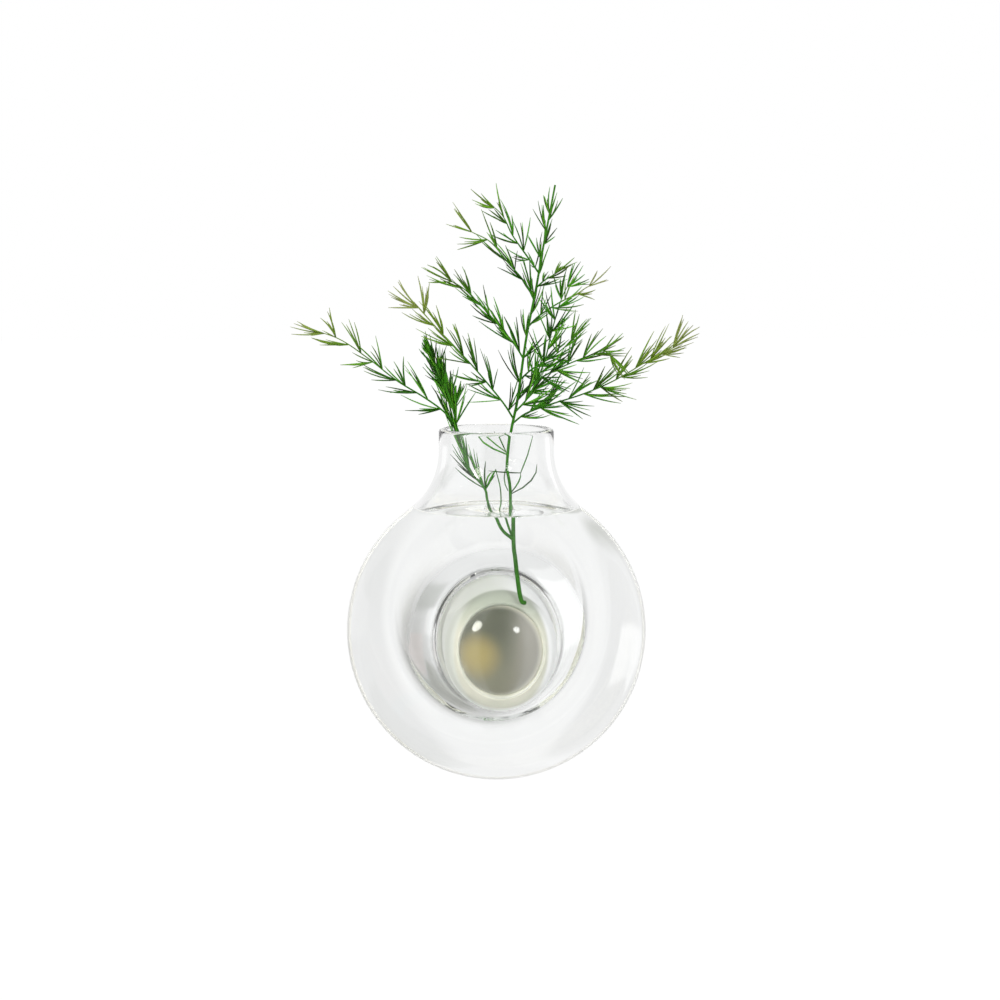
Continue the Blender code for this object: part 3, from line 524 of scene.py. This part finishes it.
def moulded_finish(name, dark, light, grain, roughness, bump_height, coat=0.0, is_ring=False):
    """A moulded or cast surface: two near shades that wander over it, a fine grain and an uneven gloss.

    On the sleeve it also has painted shade towards the ring's top, and painted light and shade on the sides.
    """
    finish = Finish(name)
    wander = finish.cloud(160.0, 2.0)
    bump = finish.bump(finish.cloud(grain, 3.0), bump_height)
    shade = finish.mix(finish.band(wander, 0.35, 0.65), (*dark, 1), (*light, 1))
    if is_ring:
        x, y, z = finish.parts(finish.place())
        oval = (x / RING_OVAL[0]) ** 2 + (z / RING_OVAL[1]) ** 2
        pale = oval.math("MAXIMUM", finish.band(oval, 1.0, 1.15), finish.band(y, *RING_EDGE))
        # Painted light and shade on the sides, lit at the right and shaded at the left, and painted shade at
        # the ring's top
        side_painted_light = finish.mix(finish.band(x, *SIDE_PAINTED_LIGHT_AT), SIDE_PAINTED_SHADE, SIDE_PAINTED_LIGHT)
        shade = finish.mix(finish.band(z, *RING_TOP_PAINTED_SHADE_AT), shade, RING_TOP_PAINTED_SHADE)
        shade = finish.mix(pale, shade, side_painted_light)
    return finish.close(finish.add("ShaderNodeBsdfPrincipled", sockets={
        "Base Color": shade,
        "Roughness": wander * 0.12 + (roughness - 0.06), "Coat Weight": coat, "Coat Roughness": 0.03,
        "Normal": bump}))


def metal_finish(name, colour, roughness, turned_marks):
    """Plated steel: fine rings left by the lathe, and a sheen that is a little duller in places."""
    finish = Finish(name)
    x, y, z = finish.parts(finish.place())
    radius = ((x * x) + (z * z)) ** 0.5
    rings = radius.math("SINE", radius * turned_marks)
    dull = finish.cloud(300.0, 3.0)
    return finish.close(finish.add("ShaderNodeBsdfPrincipled", sockets={
        "Base Color": (*colour, 1), "Metallic": 1.0, "Roughness": dull * 0.2 + (roughness - 0.1),
        "Normal": finish.bump(rings, 0.00001, 0.6)}))


# The cap is moulded in olive grey, with painted reflection and shade on it: it is painted darker at the top
# and lighter below and at the right, a straw-coloured spot is a painted reflection of the warm lamp, and a
# pale painted edge lightens the shade in the groove to the sleeve
CAP_LIT_BELOW, CAP_SHADED_TOP, CAP_LIT_RIGHT = (0.22, 0.215, 0.155, 1), (0.1, 0.105, 0.075, 1), (0.31, 0.295, 0.26, 1)
CAP_SHADED_TOP_AT, CAP_LIT_RIGHT_AT = (-0.008, 0.006), (0.0, 0.007)
CAP_WARM_REFLECTION, WARM_REFLECTION_AT, WARM_REFLECTION_REACH = (0.37, 0.3, 0.12, 1), (-0.0048, -0.042, -0.001), (0.0066, 0.0018)
CAP_EDGE_LIGHT, EDGE_ASIDE, EDGE_FLATTENED, EDGE_LIGHT_REACH = (0.62, 0.6, 0.5, 1), 0.0006, 0.84, (0.0083, 0.0098)
finish = Finish("grey_gloss")
x, y, z = finish.parts(finish.place())
warm_reflection_away = finish.add(
    "ShaderNodeVectorMath", {"operation": "DISTANCE"}, {0: finish.place(), 1: WARM_REFLECTION_AT}, "Value")
edge_away = ((x + EDGE_ASIDE) ** 2 + (z * z) * EDGE_FLATTENED) ** 0.5
# Painted shade at the top, painted light below and at the right, the warm lamp's painted reflection, and the
# pale edge painted over the groove's shade
body = finish.mix(finish.band(z, *CAP_SHADED_TOP_AT), CAP_LIT_BELOW, CAP_SHADED_TOP)
body = finish.mix(finish.band(x, *CAP_LIT_RIGHT_AT), body, CAP_LIT_RIGHT)
body = finish.mix(finish.band(warm_reflection_away, *WARM_REFLECTION_REACH), body, CAP_WARM_REFLECTION)
body = finish.mix(finish.band(edge_away, *EDGE_LIGHT_REACH), body, CAP_EDGE_LIGHT)
cap.data.materials.append(finish.close(finish.add("ShaderNodeBsdfPrincipled", sockets={
    "Base Color": body, "Roughness": 0.3, "Specular IOR Level": 0.4, "Coat Weight": 0.6,
    "Coat Roughness": 0.12})))
sleeve.data.materials.append(moulded_finish(
    "cream_rubber", (0.63, 0.63, 0.53), (0.69, 0.68, 0.58), 4000, 0.45, 0.00001, is_ring=True))
peg.data.materials.append(moulded_finish(
    "cream_plastic", (0.76, 0.73, 0.62), (0.83, 0.8, 0.7), 2500, 0.35, 0.000008))
pad.data.materials.append(moulded_finish(
    "pale_rubber", (0.84, 0.83, 0.79), (0.9, 0.89, 0.86), 5000, 0.75, 0.00002))
cup.data.materials.append(moulded_finish(
    "white_enamel", (0.87, 0.87, 0.85), (0.91, 0.91, 0.9), 1500, 0.3, 0.000006, 0.5))
for node, colour, roughness, marks in (("ring_magnet", (0.72, 0.71, 0.68), 0.2, 14000.0),
                                       ("fixing_screw", (0.45, 0.45, 0.47), 0.3, 20000.0)):
    frame["nodes"][node].data.materials.clear()
    frame["nodes"][node].data.materials.append(metal_finish(node + "_metal", colour, roughness, marks))


# The sprig: asparagus fern, cut fresh. Two stems stand in the water, the longer with its foot on the pocket.
# Twelve fronds on them carry their needles in bundles, greener near the stem and yellower at the tips.
# Routes are in millimetres from the middle of the rim, except for the stems' feet, from the wall's axis.
RIM = np.array([BULB[0], BULB[1], RIM_Z])
STEM_FOOT_R, STEM_TIP_R, SIDE_STEM_R, FROND_R, FROND_TIP_R = 0.52, 0.28, 0.42, 0.3, 0.14
NEEDLE_R, NEEDLE_TIP_R, TIP_OVERHANG = 0.2, 0.06, 1.5
STEM_SIDES, NEEDLE_SIDES, NEEDLE_RINGS = 8, 4, 5
pocket_pole = POCKET_END + DOME_RISE + POCKET_GLASS_T
pocket_top = POCKET_R * POCKET_TALL + POCKET_GLASS_T
chance = np.random.default_rng(7)


def smooth_route(points, step=0.4):
    """Points at even steps on a smooth curve through the given ones.

    Between two points it is a cubic, which leaves each of them along the line between its neighbours.
    """
    p = np.array(points, dtype=float)
    p = np.vstack([2 * p[0] - p[1], p, 2 * p[-1] - p[-2]])
    a, b, c, d = (p[i:len(p) - 3 + i, None] for i in range(4))
    at = np.linspace(0, 1, 24, endpoint=False)[None, :, None]
    curve = b + 0.5 * at * (c - a + at * (2 * a - 5 * b + 4 * c - d + at * (3 * (b - c) + d - a)))
    fine = np.vstack([curve.reshape(-1, 3), p[-2:-1]])
    run = np.concatenate([[0], np.cumsum(np.linalg.norm(np.diff(fine, axis=0), axis=1))])
    even = np.linspace(0, run[-1], max(2, int(round(run[-1] / step)) + 1))
    return np.stack([np.interp(even, run, fine[:, k]) for k in range(3)], axis=1)


def unit(v):
    return v / np.linalg.norm(v, axis=-1, keepdims=True)


def tubes(paths, radii, sides):
    """Closed tubes round paths (count, rings, 3) with radii (count, rings), each ring square to its path."""
    along = unit(np.gradient(paths, axis=1))
    aside = unit(np.cross(along, [0.13, 0.97, 0.21]))
    up = np.cross(along, aside)
    turn = 2 * np.pi * np.arange(sides) / sides
    ring = np.cos(turn)[:, None] * aside[:, :, None] + np.sin(turn)[:, None] * up[:, :, None]
    points = paths[:, :, None] + radii[:, :, None, None] * ring
    number = np.arange(points.shape[0] * points.shape[1] * sides).reshape(points.shape[:3])
    here, after = number[:, :-1], number[:, 1:]
    walls = np.stack([here, np.roll(here, -1, 2), np.roll(after, -1, 2), after], axis=-1).reshape(-1, 4)
    return points.reshape(-1, 3), [walls, number[:, 0, ::-1], number[:, -1]]


def needle_paths(foot, way, length, bend):
    """Curved paths (count, rings, 3): each goes its way from its foot and bends by a share of its length."""
    at = np.linspace(0, 1, NEEDLE_RINGS)[None, :, None]
    return foot[:, None] + length[:, None, None] * (at * way[:, None] + at**2 * bend[:, None])


def fern_piece(name, route, radii, needles, ripe, replaced, slot):
    """One stem or frond: a tube along the route, and needles given by foot, way, length and bend.

    Two values ride on its points: tone differs from needle to needle, and ripe grows towards the tips.
    """
    foot, way, length, bend = needles
    paths = needle_paths(foot, way, length, bend)
    count = len(paths)
    size = NEEDLE_R * (0.8 + 0.4 * chance.random(count))[:, None]
    swell = np.array([0.75, 1.0, 1.05, 0.85, NEEDLE_TIP_R / NEEDLE_R])[None, :]
    needle_points, needle_faces = tubes(paths, size * swell, NEEDLE_SIDES)
    stem_points, stem_faces = tubes(route[None], radii[None], STEM_SIDES)
    points = np.concatenate([stem_points, needle_points])
    faces = stem_faces + [f + len(stem_points) for f in needle_faces]
    piece = make_piece(name, points, faces, "sprig", replaced, slot)
    share = np.repeat(np.linspace(0, 1, len(route)), STEM_SIDES)
    reach = np.linspace(0, 1, NEEDLE_RINGS)
    foot_share = np.linalg.norm(foot - route[0], axis=-1) / np.linalg.norm(route[-1] - route[0])
    needle_ripe = ripe * np.clip(foot_share, 0, 1.2)[:, None] ** 1.5 + 0.35 * ripe * reach**2
    needle_tone = np.repeat(chance.random(count), NEEDLE_RINGS * NEEDLE_SIDES)
    values = {
        "tone": (np.full(len(stem_points), 0.45), needle_tone),
        "ripe": (ripe * share**1.5, np.repeat(needle_ripe.ravel(), NEEDLE_SIDES)),
    }
    for key, (stem, needle) in values.items():
        spread = piece.data.attributes.new(key, "FLOAT", "POINT")
        spread.data.foreach_set("value", np.concatenate([stem, needle]).astype(np.float32))
    return piece


def bundles(route, places, sides, per, length, lean, fan=0.17, lift=0.0):
    """Needles in bundles at the given shares of a route.

    A bundle leaves the route's line by about lean, to the side given as 1 or -1 and mostly across the view,
    and its needles part from each other by about fan. Neither goes further than the route's end.
    """
    count = len(places)
    bundle_off = lean * (0.55 + 0.9 * chance.random(count))
    bundle_roll = chance.normal(0, 0.6, count)
    at, side, off, roll, size = (np.repeat(np.broadcast_to(v, count), per)
                                 for v in (places, sides, bundle_off, bundle_roll, length))
    off = np.abs(off + fan * chance.normal(0, 1, len(at)))
    roll = roll + 0.4 * chance.normal(0, 1, len(at))
    which = np.clip(at * (len(route) - 1), 0, len(route) - 2).astype(int)
    along = unit(route[np.minimum(which + 2, len(route) - 1)] - route[np.maximum(which - 2, 0)])
    aside = unit(np.cross(along, [0.0, 1.0, 0.0]))
    deep = np.cross(along, aside)
    across = side[:, None] * np.cos(roll)[:, None] * aside + np.sin(roll)[:, None] * deep
    up = np.array([0, 0, 1.0])
    way = unit(np.cos(off)[:, None] * along + np.sin(off)[:, None] * across + lift * up)
    size = size * (0.5 + 0.65 * chance.random(len(at)))
    size = np.minimum(size, np.linalg.norm(route[-1] - route[which], axis=-1) + TIP_OVERHANG)
    bend = 0.07 * chance.normal(0, 1, (len(at), 3)) - 0.1 * across + 0.03 * up
    return route[which] + 0.15 * way, way, size, bend


main_stem = smooth_route([
    (5.4, 4.0 - pocket_pole, pocket_top - 2.6), (4.6, 3.5 - pocket_pole, pocket_top - 2.2),
    (4.0, 2.8 - pocket_pole, pocket_top + 0.6), (3.2, 1.4 - pocket_pole, pocket_top + 8.0),
    (2.8, 0.4 - pocket_pole, pocket_top + 14.0), *(RIM + np.array([
        (4.2, 0, -19.5), (3.2, 0, -11), (4.4, 0, -1), (6.4, 0, 9), (8.9, 0, 26.7), (11.9, 0, 42),
        (13.6, 0, 52), (15.6, 0, 62.5), (17.5, 0, 72.5)]))])
side_stem = smooth_route([
    (2.8, 0.4 - pocket_pole, pocket_top + 13.0), (-0.6, -0.7 - pocket_pole, pocket_top + 17.5),
    *(RIM + np.array([
        (-2.6, -2, -22.5), (-3.6, -2, -18), (-7.6, -2, -12.8), (-10.3, -2, -6), (-12, -2, 1),
        (-12.8, -2.4, 7), (-12.2, -3, 13)]))])

# Needles in the neck, seen one by one: foot, the point half way, and tip, from the middle of the rim
NECK_NEEDLES = RIM + np.array([
    [(3.7, 0, -7.7), (-2.6, -1, -3.6), (-4.7, -2, -0.9)],
    [(3.5, 0, -7.9), (-3.9, 1, -5.0), (-6.0, 1, -1.5)],
    [(2.9, 0, -7.2), (1.2, 0, -4.2), (-0.7, 0, -0.9)],
    [(4.4, 0, -20.0), (10.3, -2, -15.6), (11.9, -3, -10.4)],
    [(4.4, 0, -19.6), (6.8, 1, -16.2), (7.4, 1, -13.4)],
    [(7.4, 1, -13.4), (9.0, 2, -9.5), (11.9, 3, -2.6)],
    [(7.3, 1, -13.5), (2.5, 2, -13.4), (-2.3, 3, -13.0)],
    [(3.5, 0, -19.0), (2.4, 1, -15.0), (3.6, 1, -10.4)]])
SIDE_NEEDLES = RIM + np.array([
    [(-3.3, -2, -18.4), (-3.6, -2.5, -14.0), (-3.3, -3, -9.5)],
    [(-3.5, -2, -18.2), (-4.6, -1, -15.0), (-5.8, 0, -12.2)],
    [(-3.4, -2, -18.2), (-8.4, -3, -14.9), (-12.2, -4, -11.4)],
    [(-3.2, -2, -18.3), (-1.6, -2, -15.4), (-0.2, -2, -12.0)],
    [(-3.1, -2, -18.0), (-1.9, -3, -15.0), (-0.6, -3.4, -12.4)],
    [(-3.2, -2, -17.6), (-2.6, -1, -14.6), (-0.9, 0, -13.0)],
    [(-3.3, -2, -17.9), (-2.2, -1, -16.4), (-0.4, -1, -14.0)]])


def bowed(curves):
    """Needles through three points each: foot, the point half way, and tip."""
    foot, knee, tip = np.moveaxis(curves, 1, 0)
    return foot, 4 * knee - 3 * foot - tip, np.ones(len(curves)), 2 * tip + 2 * foot - 4 * knee


def gathered(*groups):
    """Several groups of needles as one."""
    return [np.concatenate(parts) for parts in zip(*groups)]


spaced = np.array([0.5, 0.54, 0.6, 0.65, 0.7, 0.74, 0.79, 0.83, 0.865, 0.895, 0.92, 0.935])
spaced_sides = np.where(np.arange(len(spaced)) % 2, 1, -1)
fern_piece("fern_main_stem", main_stem, np.linspace(STEM_FOOT_R, STEM_TIP_R, len(main_stem)), gathered(
    bowed(NECK_NEEDLES),
    bundles(main_stem, spaced, spaced_sides, 6, np.linspace(12.0, 7.0, len(spaced)), 0.55)),
    0.25, ["main_stem"], "stem_green")
fern_piece("fern_side_stem", side_stem, np.linspace(SIDE_STEM_R, FROND_R, len(side_stem)), gathered(
    bowed(SIDE_NEEDLES),
    bundles(side_stem, [0.42, 0.47, 0.55, 0.62], [-1, 1, -1, 1], 8, 13.0, 0.25, 0.12, 0.35),
    bundles(side_stem, [0.74, 0.8, 0.86, 0.9], [1, -1, 1, -1], 9, 13.0, 0.55)),
    0.2, ["side_stem"], "stem_green")

# Each frond: its route, its number of bundles and the needles in each, their length at foot and tip, how far
# they lean out in degrees, and how ripe its tip is
FRONDS = {
    "frond_low_left": ([
        (-12.2, -2.0, 1.6), (-16.5, -5.0, 6.0), (-22.0, -6.4, 10.0), (-30.0, -7.0, 15.0), (-38.0, -7.5, 21.3),
        (-47.5, -8.0, 27.6), (-59.3, -8.0, 31.0)], 12, 5, 12.0, 10.0, 36, 0.6),
    "frond_feather": ([
        (-12.6, -2.1, 4.2), (-13.8, 1.6, 8.6), (-16.4, 3.2, 14.5), (-19.0, 3.6, 21.0),
        (-21.8, 4.0, 26.5)], 17, 10, 12.0, 6.0, 20, 0.15),
    "frond_mid_left": ([
        (5.0, 0.0, 3.0), (1.8, -3.0, 8.0), (-5.5, -5.0, 17.0), (-12.0, -5.6, 24.2), (-18.0, -6.0, 30.5),
        (-23.0, -6.0, 36.0), (-29.0, -6.0, 43.0)], 12, 6, 11.5, 10.5, 38, 0.7),
    "frond_fan_left": ([
        (8.0, 0.0, 21.0), (5.5, 3.0, 25.0), (0.5, 5.0, 31.0), (-4.5, 6.0, 36.5), (-11.0, 6.4, 42.5),
        (-20.5, 6.6, 46.5)], 9, 7, 11.0, 9.5, 26, 0.4),
    "frond_high_left": ([
        (11.2, 0.0, 38.5), (8.5, -3.0, 43.5), (3.0, -4.6, 50.0), (-2.0, -5.2, 55.8), (-8.0, -5.6, 59.0),
        (-14.2, -5.6, 63.0)], 7, 5, 11.0, 9.5, 34, 0.5),
    "frond_top_left": ([
        (12.6, 0.0, 46.5), (9.5, 3.0, 51.0), (5.0, 4.6, 57.5), (1.5, 5.0, 64.0),
        (-6.0, 5.2, 70.0)], 8, 4, 10.5, 9.0, 32, 0.4),
    "frond_top_right": ([
        (11.9, 0.0, 42.0), (14.5, -3.0, 44.5), (18.5, -4.4, 47.0),
        (22.5, -5.0, 50.0)], 4, 4, 10.0, 8.0, 30, 0.4),
    "frond_high_right": ([
        (9.6, 0.0, 30.5), (13.0, 3.0, 33.5), (18.5, 4.6, 37.0), (24.5, 5.4, 40.0), (29.0, 5.6, 42.3),
        (34.0, 5.6, 39.5)], 6, 3, 10.0, 8.0, 36, 0.8),
    "frond_tall_right": ([
        (5.4, 0.0, 4.6), (9.6, -3.6, 10.0), (14.0, -5.6, 20.0), (16.4, -6.4, 30.0), (19.5, -6.8, 40.0),
        (24.0, -7.0, 48.0)], 13, 7, 12.0, 8.0, 36, 0.2),
    "frond_mid_right": ([
        (7.2, 0.0, 14.6), (11.0, 4.0, 17.5), (18.0, 7.4, 21.5), (24.0, 9.0, 26.5),
        (28.0, 9.6, 31.0)], 8, 5, 12.0, 9.0, 34, 0.3),
    "frond_inner_right": ([
        (6.4, 0.0, 9.5), (11.0, 1.0, 13.5), (18.0, 0.5, 17.5), (27.0, -1.5, 21.5), (33.0, -2.0, 22.8),
        (37.6, -2.0, 15.5)], 11, 6, 11.5, 9.0, 38, 0.4),
    "frond_long_right": ([
        (4.6, 0.0, 1.2), (9.0, 4.5, 4.0), (16.0, 7.0, 6.4), (26.0, 8.4, 9.4), (36.0, 9.0, 13.6),
        (47.0, 9.2, 20.0), (54.0, 9.2, 23.5), (61.6, 9.2, 28.0)], 16, 8, 12.0, 11.0, 38, 0.7),
}
for node, (points, count, per, long, short, lean_out, ripe) in FRONDS.items():
    route = smooth_route(RIM + np.array(points))
    bare_end = 1 - 0.8 * short / np.linalg.norm(np.diff(route, axis=0), axis=1).sum()
    places = np.linspace(0.07, bare_end, count) + 0.012 * chance.normal(0, 1, count)
    places[-1] = bare_end
    sides = np.where(np.arange(count) % 2, 1, -1)
    lengths = np.linspace(long, short, count)
    needles = bundles(route, np.clip(places, 0.05, bare_end), sides, per, lengths, math.radians(lean_out))
    tip = bundles(route, [bare_end], [1], 3, short, 0.12)
    stalk = route[:int(bare_end * len(route)) + 1]
    radii = np.linspace(FROND_R, FROND_TIP_R, len(stalk))
    fern_piece("fern_" + node, stalk, radii, gathered(needles, tip), ripe, [node], "needle_green")

# A third stalk, no thicker than a needle's foot, runs from the stems' fork to the side stem's lowest bundle
thin_stalk = smooth_route(RIM + np.array([
    (4.0, 0.2, -39.8), (2.6, 0.5, -35.5), (1.6, 0.6, -30.5), (0.9, 0.4, -26.0), (1.4, 0.2, -22.6),
    (1.1, -0.9, -17.8), (-0.3, -2.0, -12.1)]))
no_needles = [np.zeros((0, 3)), np.zeros((0, 3)), np.zeros(0), np.zeros((0, 3))]
radii = np.linspace(FROND_R, FROND_TIP_R, len(thin_stalk))
fern_piece("fern_thin_stalk", thin_stalk, radii, no_needles, 0.1, (), "stem_green")

finish = Finish("fern_green")
tone = finish.add("ShaderNodeAttribute", {"attribute_name": "tone"}, output="Fac")
ripe = finish.add("ShaderNodeAttribute", {"attribute_name": "ripe"}, output="Fac")
fresh = finish.add("ShaderNodeValToRGB", {"stops": [
    (0.0, (0.012, 0.016, 0.003)),
    (0.3, (0.01, 0.06, 0.002)),
    (0.65, (0.035, 0.19, 0.006)),
    (1.0, (0.11, 0.32, 0.02))]}, {"Fac": tone * 0.8 + finish.cloud(900.0, 2.0) * 0.4 - 0.1})
aged = finish.add("ShaderNodeValToRGB", {"stops": [
    (0.0, (0.05, 0.13, 0.006)),
    (0.5, (0.13, 0.2, 0.02)),
    (1.0, (0.22, 0.22, 0.11))]}, {"Fac": ripe * 0.9})
green = finish.mix(finish.band(ripe, 0.1, 0.75), fresh, aged)
finish.close(finish.add("ShaderNodeBsdfPrincipled", sockets={
    "Base Color": green, "Roughness": 0.5, "Specular IOR Level": 0.12}))
for piece in bpy.context.scene.objects:
    if piece.name.startswith("fern_"):
        piece.data.materials.append(finish.made)


# The room: a pale floor, soft lamps, and a bright room all round with a window on either side, which glass
# and gloss show. The camera sees plain white behind the vase.
FLOOR_HALF, FLOOR_Z = 6, -0.25
floor_mesh = bpy.data.meshes.new("floor")
floor_mesh.from_pydata([
    (-FLOOR_HALF, -FLOOR_HALF, FLOOR_Z), (FLOOR_HALF, -FLOOR_HALF, FLOOR_Z),
    (FLOOR_HALF, FLOOR_HALF, FLOOR_Z), (-FLOOR_HALF, FLOOR_HALF, FLOOR_Z)], [], [(0, 1, 2, 3)])
floor = bpy.data.objects.new("floor", floor_mesh)
bpy.context.scene.collection.objects.link(floor)


def sent_on(finish):
    """1 for rays that glass or gloss sends on."""
    glossy = finish.add("ShaderNodeLightPath", output="Is Glossy Ray")
    passed = finish.add("ShaderNodeLightPath", output="Is Transmission Ray")
    return glossy.math("MAXIMUM", glossy, passed)


finish = Finish("pale_floor")
paint = finish.add("ShaderNodeBsdfDiffuse", sockets={"Color": (0.9, 0.9, 0.9, 1)})
glow = finish.add("ShaderNodeEmission", sockets={"Color": (1, 1, 1, 1), "Strength": 1.06})
bare = finish.add("ShaderNodeBsdfTransparent", sockets={"Color": (1, 1, 1, 1)})
is_camera = finish.add("ShaderNodeLightPath", output="Is Camera Ray")
lit = finish.add("ShaderNodeMixShader", sockets={0: is_camera * 0.9, 1: paint, 2: glow})
floor.data.materials.append(finish.close(finish.add("ShaderNodeMixShader", sockets={
    0: sent_on(finish), 1: lit, 2: bare})))

# Each pane of the room, by azimuth (0 behind the vase, 90 to its right) and height, in degrees, with its
# softness and its colour
ROOM_GREY, AMBIENT_GREY, BEHIND_WHITE = (0.85, 0.85, 0.85, 1), (0.62, 0.62, 0.62, 1), (0.95, 0.95, 0.95, 1)
PANES = [
    (-180, -147, -80, 66, 10, (0.3, 0.3, 0.28)),
    (140, 180, -80, 66, 12, (0.36, 0.36, 0.34)),
    (10, 128, -90, -22, 10, (1.0, 1.0, 1.0)),
    (-98, -40, 2, 30, 8, (0.66, 0.67, 0.65)),
    (-124, -64, -34, -17, 1.5, (1.15, 1.15, 1.15)),
    (-96, -60, -34, -8, 1.5, (0.92, 0.87, 0.86)),
    (-122, -52, -43, -35, 1.5, (0.78, 0.87, 0.88)),
    (-60, -8, -60, -21, 5, (0.6, 0.61, 0.58)),
    (32, 104, -48, 38, 4, (0.96, 0.96, 0.96)),
    (32, 104, -17, 25, 3, (1.1, 1.1, 1.1)),
    (-60, -24, -10, 8, 3, (1.0, 1.0, 1.0)),
    (-180, 180, 60, 90, 12, (0.9, 0.9, 0.9)),
]
world = bpy.data.worlds.new("room")
bpy.context.scene.world = world
finish = Finish("room", world)
x, y, z = finish.parts(finish.add("ShaderNodeTexCoord", output="Generated"))
azimuth = x.math("ARCTAN2", x, y) * math.degrees(1)
height = z.math("ARCSINE", z) * math.degrees(1)
off_middle, off_level = azimuth.math("ABSOLUTE", azimuth), height.math("ABSOLUTE", height)
behind = finish.band(off_middle, 16, 8) * finish.band(off_level, 40, 25)
seen_room = finish.mix(behind, ROOM_GREY, BEHIND_WHITE)
for left, right, low, high, soft, colour in PANES:
    within = finish.band(azimuth, left, left + soft) if left > -180 else 1.0
    if right < 180:
        within = finish.band(azimuth, right, right - soft) * within
    within = within * finish.band(height, low, low + soft) * finish.band(height, high, high - soft)
    seen_room = finish.mix(within, seen_room, (*colour, 1))
is_camera = finish.add("ShaderNodeLightPath", output="Is Camera Ray")
ambient = finish.mix(sent_on(finish), AMBIENT_GREY, seen_room)
tone = finish.mix(is_camera, ambient, (1, 1, 1, 1))
background = finish.add("ShaderNodeBackground", sockets={"Color": tone, "Strength": 1.0})
finish.close(background, "ShaderNodeOutputWorld")


def hang_lamp(name, power, colour, at, back):
    """An area lamp at a place, with its back turned to the given way, which gloss doesn't show."""
    lamp = bpy.data.lights.new(name, "AREA")
    lamp.energy, lamp.color = power, colour
    light = bpy.data.objects.new(name, lamp)
    light.location = at
    light.rotation_euler = back.to_track_quat("Z", "Y").to_euler()
    light.visible_glossy = False
    bpy.context.scene.collection.objects.link(light)
    return light


# Three soft lamps: a warm one at the upper left, a white one at the upper right, and one above
for name, at, power, colour, size in (("left_lamp", (-0.5, -0.75, 0.55), 3.2, (1.0, 0.95, 0.86), 0.12),
                                      ("right_lamp", (0.35, -0.9, 0.5), 3.6, (1.0, 1.0, 1.0), 0.09),
                                      ("top_lamp", (0.1, -0.25, 1.2), 6.0, (1.0, 1.0, 1.0), 0.5)):
    light = hang_lamp(name, power, colour, at, Vector(at) - Vector((0, -0.04, 0.02)))
    light.data.size = size
    light.visible_transmission = False

# Two round lamps that only light sent on by glass finds: the pocket's dome shows them as its two highlights.
# Each is given by its azimuth and height in degrees, seen from the cap.
CAP_AT = Vector((0, -0.044, 0))
for name, azimuth_at, height_at, power, colour, size in (
        ("cap_lamp_left", -138, 26, 3.0, (1.0, 0.98, 0.9), (0.32, 0.26)),
        ("cap_lamp_right", 156, 20, 1.4, (1.0, 1.0, 1.0), (0.17, 0.13))):
    across, up = math.radians(azimuth_at), math.radians(height_at)
    way = Vector((math.sin(across) * math.cos(up), math.cos(across) * math.cos(up), math.sin(up)))
    light = hang_lamp(name, power, colour, way + CAP_AT, way)
    light.data.shape, light.data.size, light.data.size_y = "ELLIPSE", *size

AIM = np.array([-0.1, -46.0, 44.5]) * 0.001
DISTANCE, DOWN, ASIDE = 1.0, math.radians(6.0), math.radians(-2.3)
camera = bpy.data.cameras.new("camera")
camera.lens, camera.sensor_width = 120, 36
camera.clip_start = 0.01
view = bpy.data.objects.new("camera", camera)
bpy.context.scene.collection.objects.link(view)
back = Vector((math.sin(ASIDE) * math.cos(DOWN), -math.cos(ASIDE) * math.cos(DOWN), math.sin(DOWN)))
view.location = Vector(AIM) + DISTANCE * back
view.rotation_euler = back.to_track_quat("Z", "Y").to_euler()
bpy.context.scene.camera = view
bpy.context.scene.view_settings.view_transform = "Standard"
bpy.context.scene.cycles.max_bounces = 32
bpy.context.scene.cycles.transmission_bounces = 32
bpy.context.scene.cycles.glossy_bounces = 16
bpy.context.scene.cycles.transparent_max_bounces = 32
